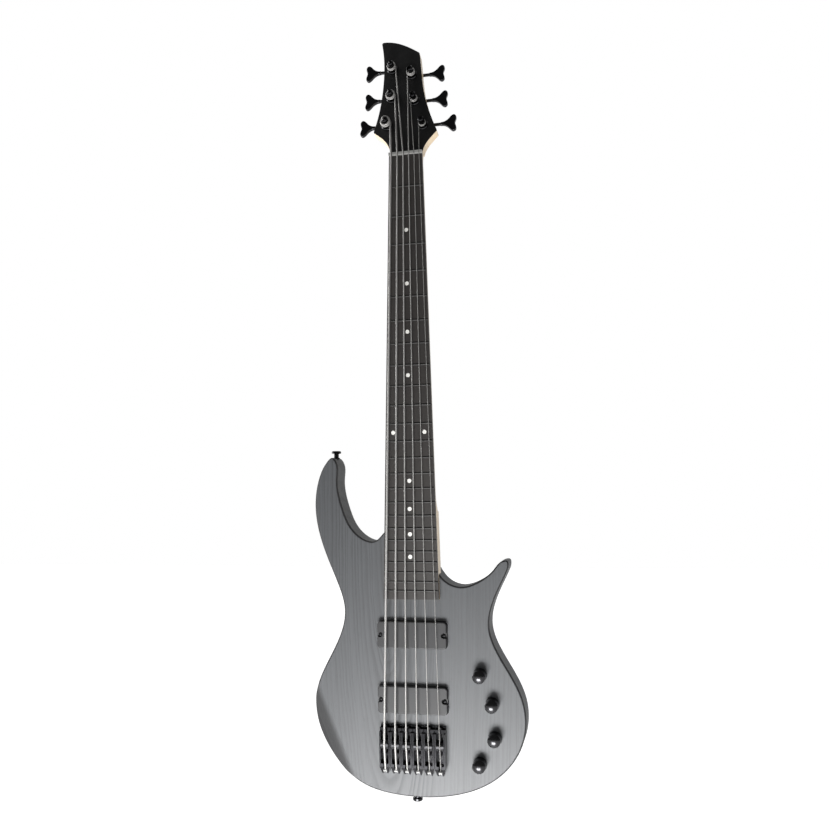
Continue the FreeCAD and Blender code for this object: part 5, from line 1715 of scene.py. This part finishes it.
@dataclass
class Controls:
    """Four knobs on their pots, and the output jack."""

    set_screw: Screw = field(default_factory=lambda: Screw(
        HeadStyle.GRUB, Drive.HEX, head_radius=0.0014, head_height=0.0, shank_radius=0.0014,
        length=0.0045, drive_width=0.0016, drive_depth=0.0012, steps=16))
    set_screw_share: float = 0.32
    set_screw_sink: float = 0.0002

    def build(self, shop: Workshop) -> None:
        """Model the set screw in each knob's side, turned to the tail.

        Args:
            shop: The workshop.
        """
        shape = self.set_screw.mesh("set_screw")
        for number in range(1, KNOB_COUNT + 1):
            low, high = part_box("knob_%d" % number)
            middle = (low + high) / 2
            level = high.y + (low.y - high.y) * self.set_screw_share
            reach = (high.x - low.x) / 2 - self.set_screw_sink
            spot = Vector((middle.x, level, middle.z)) - UP * reach
            shop.scatter("set_screw_%d" % number, shape, [(spot, -UP)], "control_%d" % number, Slot.SCREW)

    def dress(self, shop: Workshop) -> None:
        """Dress knobs, pots and jack.

        Args:
            shop: The workshop.
        """
        for number in range(1, KNOB_COUNT + 1):
            shop.dress(Slot.KNOB, "knob_%d" % number)
            shop.dress(Slot.STEEL, "pot_shaft_%d" % number)
        shop.dress(Slot.STEEL, "pot_cans", "pot_nuts")
        shop.dress(Slot.HARDWARE, "output_jack", "jack_nut")


@dataclass
class StrapHardware:
    """Two strap buttons with their screws, at the tail and on the upper horn."""

    screw: Screw = field(default_factory=lambda: Screw(
        HeadStyle.COUNTERSUNK, Drive.CROSS, head_radius=0.0042, head_height=0.0022, shank_radius=0.00215,
        length=0.0360, drive_width=0.0046, drive_depth=0.0015))

    def build(self, shop: Workshop) -> None:
        """Model the buttons' screws.

        Args:
            shop: The workshop.
        """
        spots = []
        for low, high in shop.islands("strap_screws"):
            middle = (low + high) / 2
            out = UP if middle.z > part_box("body")[1].z / 2 else -UP
            level = high.z if out.z > 0 else low.z
            spots.append((Vector((middle.x, middle.y, level)), out))
        shop.scatter("strap_screw_set", self.screw.mesh("strap_screw"), spots, INSTRUMENT, Slot.SCREW,
                     "strap_screws")

    def dress(self, shop: Workshop) -> None:
        """Dress the buttons."""
        shop.dress(Slot.HARDWARE, "strap_buttons")


@dataclass(frozen=True)
class Lamp:
    """A soft area lamp that the camera doesn't see, with its power in watts."""

    name: str
    place: Vector
    aim: Vector
    power: float
    size: tuple[float, float]

    def hang(self) -> None:
        """Hang the lamp in its place, turned to its aim."""
        data = bpy.data.lights.new(self.name, "AREA")
        data.energy = self.power
        data.shape = "RECTANGLE"
        data.size, data.size_y = self.size
        lamp = bpy.data.objects.new(self.name, data)
        bpy.context.scene.collection.objects.link(lamp)
        lamp.location = self.place
        lamp.rotation_euler = (self.aim - self.place).to_track_quat("-Z", "Y").to_euler()
        lamp.visible_camera = False


@dataclass
class Studio:
    """White surroundings, pale floor, soft lamps and the camera."""

    camera_place: Vector = Vector((0.2804, -1.2433, 0.4299))
    camera_aim: Vector = Vector((0.0023, 0.0, 0.5425))
    camera_roll: float = math.radians(-0.745)
    lens: float = 36.85
    sensor: float = 36.0
    floor_level: float = -0.75
    floor_size: float = 24.0
    floor_shade: float = 0.80
    floor_roughness: float = 0.9
    floor_glow: float = 0.80
    world_front: float = 0.14
    world_behind: float = 0.90
    world_turn: tuple[float, float] = (-0.3, 0.5)
    lamps: tuple[Lamp, ...] = (
        Lamp("key_lamp", place=Vector((-0.04, -0.82, -0.44)), aim=Vector((0.03, 0.0, 0.17)), power=24.5,
             size=(0.58, 0.38)),
        Lamp("strip_lamp", place=Vector((-1.3, -0.14, 1.25)), aim=Vector((0.0, 0.0, 1.05)), power=24.0,
             size=(0.3, 2.2)))

    def build(self) -> None:
        """Set up surroundings, floor, lamps and camera."""
        bpy.context.scene.view_settings.view_transform = "Standard"
        self.surroundings()
        self.floor()
        for lamp in self.lamps:
            lamp.hang()
        self.camera()

    def surroundings(self) -> None:
        """Make the world white to the camera, bright behind the object and a plain fill before it."""
        world = bpy.data.worlds.new("white_surroundings")
        world.use_nodes = True
        bpy.context.scene.world = world
        graph = Graph(world.node_tree)
        background = world.node_tree.nodes["Background"]
        rays = graph.add("ShaderNodeLightPath").outputs
        way = graph.add("ShaderNodeSeparateXYZ", {0: graph.add("ShaderNodeTexCoord").outputs["Generated"]})
        behind = graph.step(way.outputs["Y"], *self.world_turn)
        lit = graph.math("MULTIPLY_ADD", behind, self.world_behind - self.world_front, self.world_front)
        mirrored = graph.math("MULTIPLY", behind, graph.math("MAXIMUM", rays["Is Glossy Ray"],
                                                             rays["Is Transmission Ray"]))
        seen = graph.math("MAXIMUM", mirrored, rays["Is Camera Ray"])
        graph.feed(background.inputs["Strength"], graph.math("MAXIMUM", lit, seen))
        graph.feed(background.inputs["Color"], (1.0, 1.0, 1.0, 1.0))

    def floor(self) -> None:
        """Lay a pale floor well below the hanging object."""
        half = self.floor_size / 2
        mesh = bpy.data.meshes.new("studio_floor")
        square = ((-half, -half), (half, -half), (half, half), (-half, half))
        mesh.from_pydata([(x, y, self.floor_level) for x, y in square], [], [(0, 1, 2, 3)])
        floor = bpy.data.objects.new("studio_floor", mesh)
        bpy.context.scene.collection.objects.link(floor)
        material = bpy.data.materials.new("pale_floor")
        material.use_nodes = True
        graph = Graph(material.node_tree)
        shader = material.node_tree.nodes["Principled BSDF"]
        shade = self.floor_shade
        rays = graph.add("ShaderNodeLightPath").outputs
        seen = graph.math("MAXIMUM", rays["Is Camera Ray"],
                          graph.math("MAXIMUM", rays["Is Glossy Ray"], rays["Is Transmission Ray"]))
        graph.feed(shader.inputs["Base Color"], (shade, shade, shade, 1.0))
        graph.feed(shader.inputs["Roughness"], self.floor_roughness)
        graph.feed(shader.inputs["Emission Color"], (1.0, 1.0, 1.0, 1.0))
        graph.feed(shader.inputs["Emission Strength"], graph.math("MULTIPLY", seen, self.floor_glow))
        mesh.materials.append(material)

    def camera(self) -> None:
        """Stand the camera where the photograph was taken from."""
        data = bpy.data.cameras.new("camera")
        data.lens = self.lens
        data.sensor_fit = "VERTICAL"
        data.sensor_height = self.sensor
        ahead = (self.camera_aim - self.camera_place).normalized()
        level_right = ahead.cross(UP).normalized()
        level_up = level_right.cross(ahead)
        right = level_right * math.cos(self.camera_roll) + level_up * math.sin(self.camera_roll)
        top = level_up * math.cos(self.camera_roll) - level_right * math.sin(self.camera_roll)
        camera = bpy.data.objects.new("camera", data)
        bpy.context.scene.collection.objects.link(camera)
        turn = Matrix((right, top, -ahead)).transposed().to_4x4()
        camera.matrix_world = Matrix.Translation(self.camera_place) @ turn
        bpy.context.scene.camera = camera


def corners(box: Sequence[Sequence[float]]) -> list[list[float]]:
    """A box as plain lists of numbers."""
    return [[float(value) for value in corner] for corner in box]


def main() -> None:
    """Load the frame, build and dress each sub-assembly, and set up the studio."""
    logging.basicConfig(level=logging.INFO, format="%(name)s: %(message)s")
    for leftover in list(bpy.data.objects):
        bpy.data.objects.remove(leftover)
    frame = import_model()
    shop = Workshop(frame)
    body, neck, heads = BodyAssembly(), NeckAssembly(), MachineHeads()
    strings, bridge, pickups = StringSet(neck), Bridge(), Pickups()
    controls, straps = Controls(), StrapHardware()
    for assembly in (body, neck, heads, strings, bridge, pickups, controls, straps):
        assembly.build(shop)
    for assembly in (body, neck, heads, bridge, pickups, controls, straps):
        assembly.dress(shop)
    bare = sorted(set(shop.nodes) - shop.dressed)
    LOG.info("nodes without a finish: %s", bare or "none")
    Studio().build()


if __name__ == "__main__":
    main()
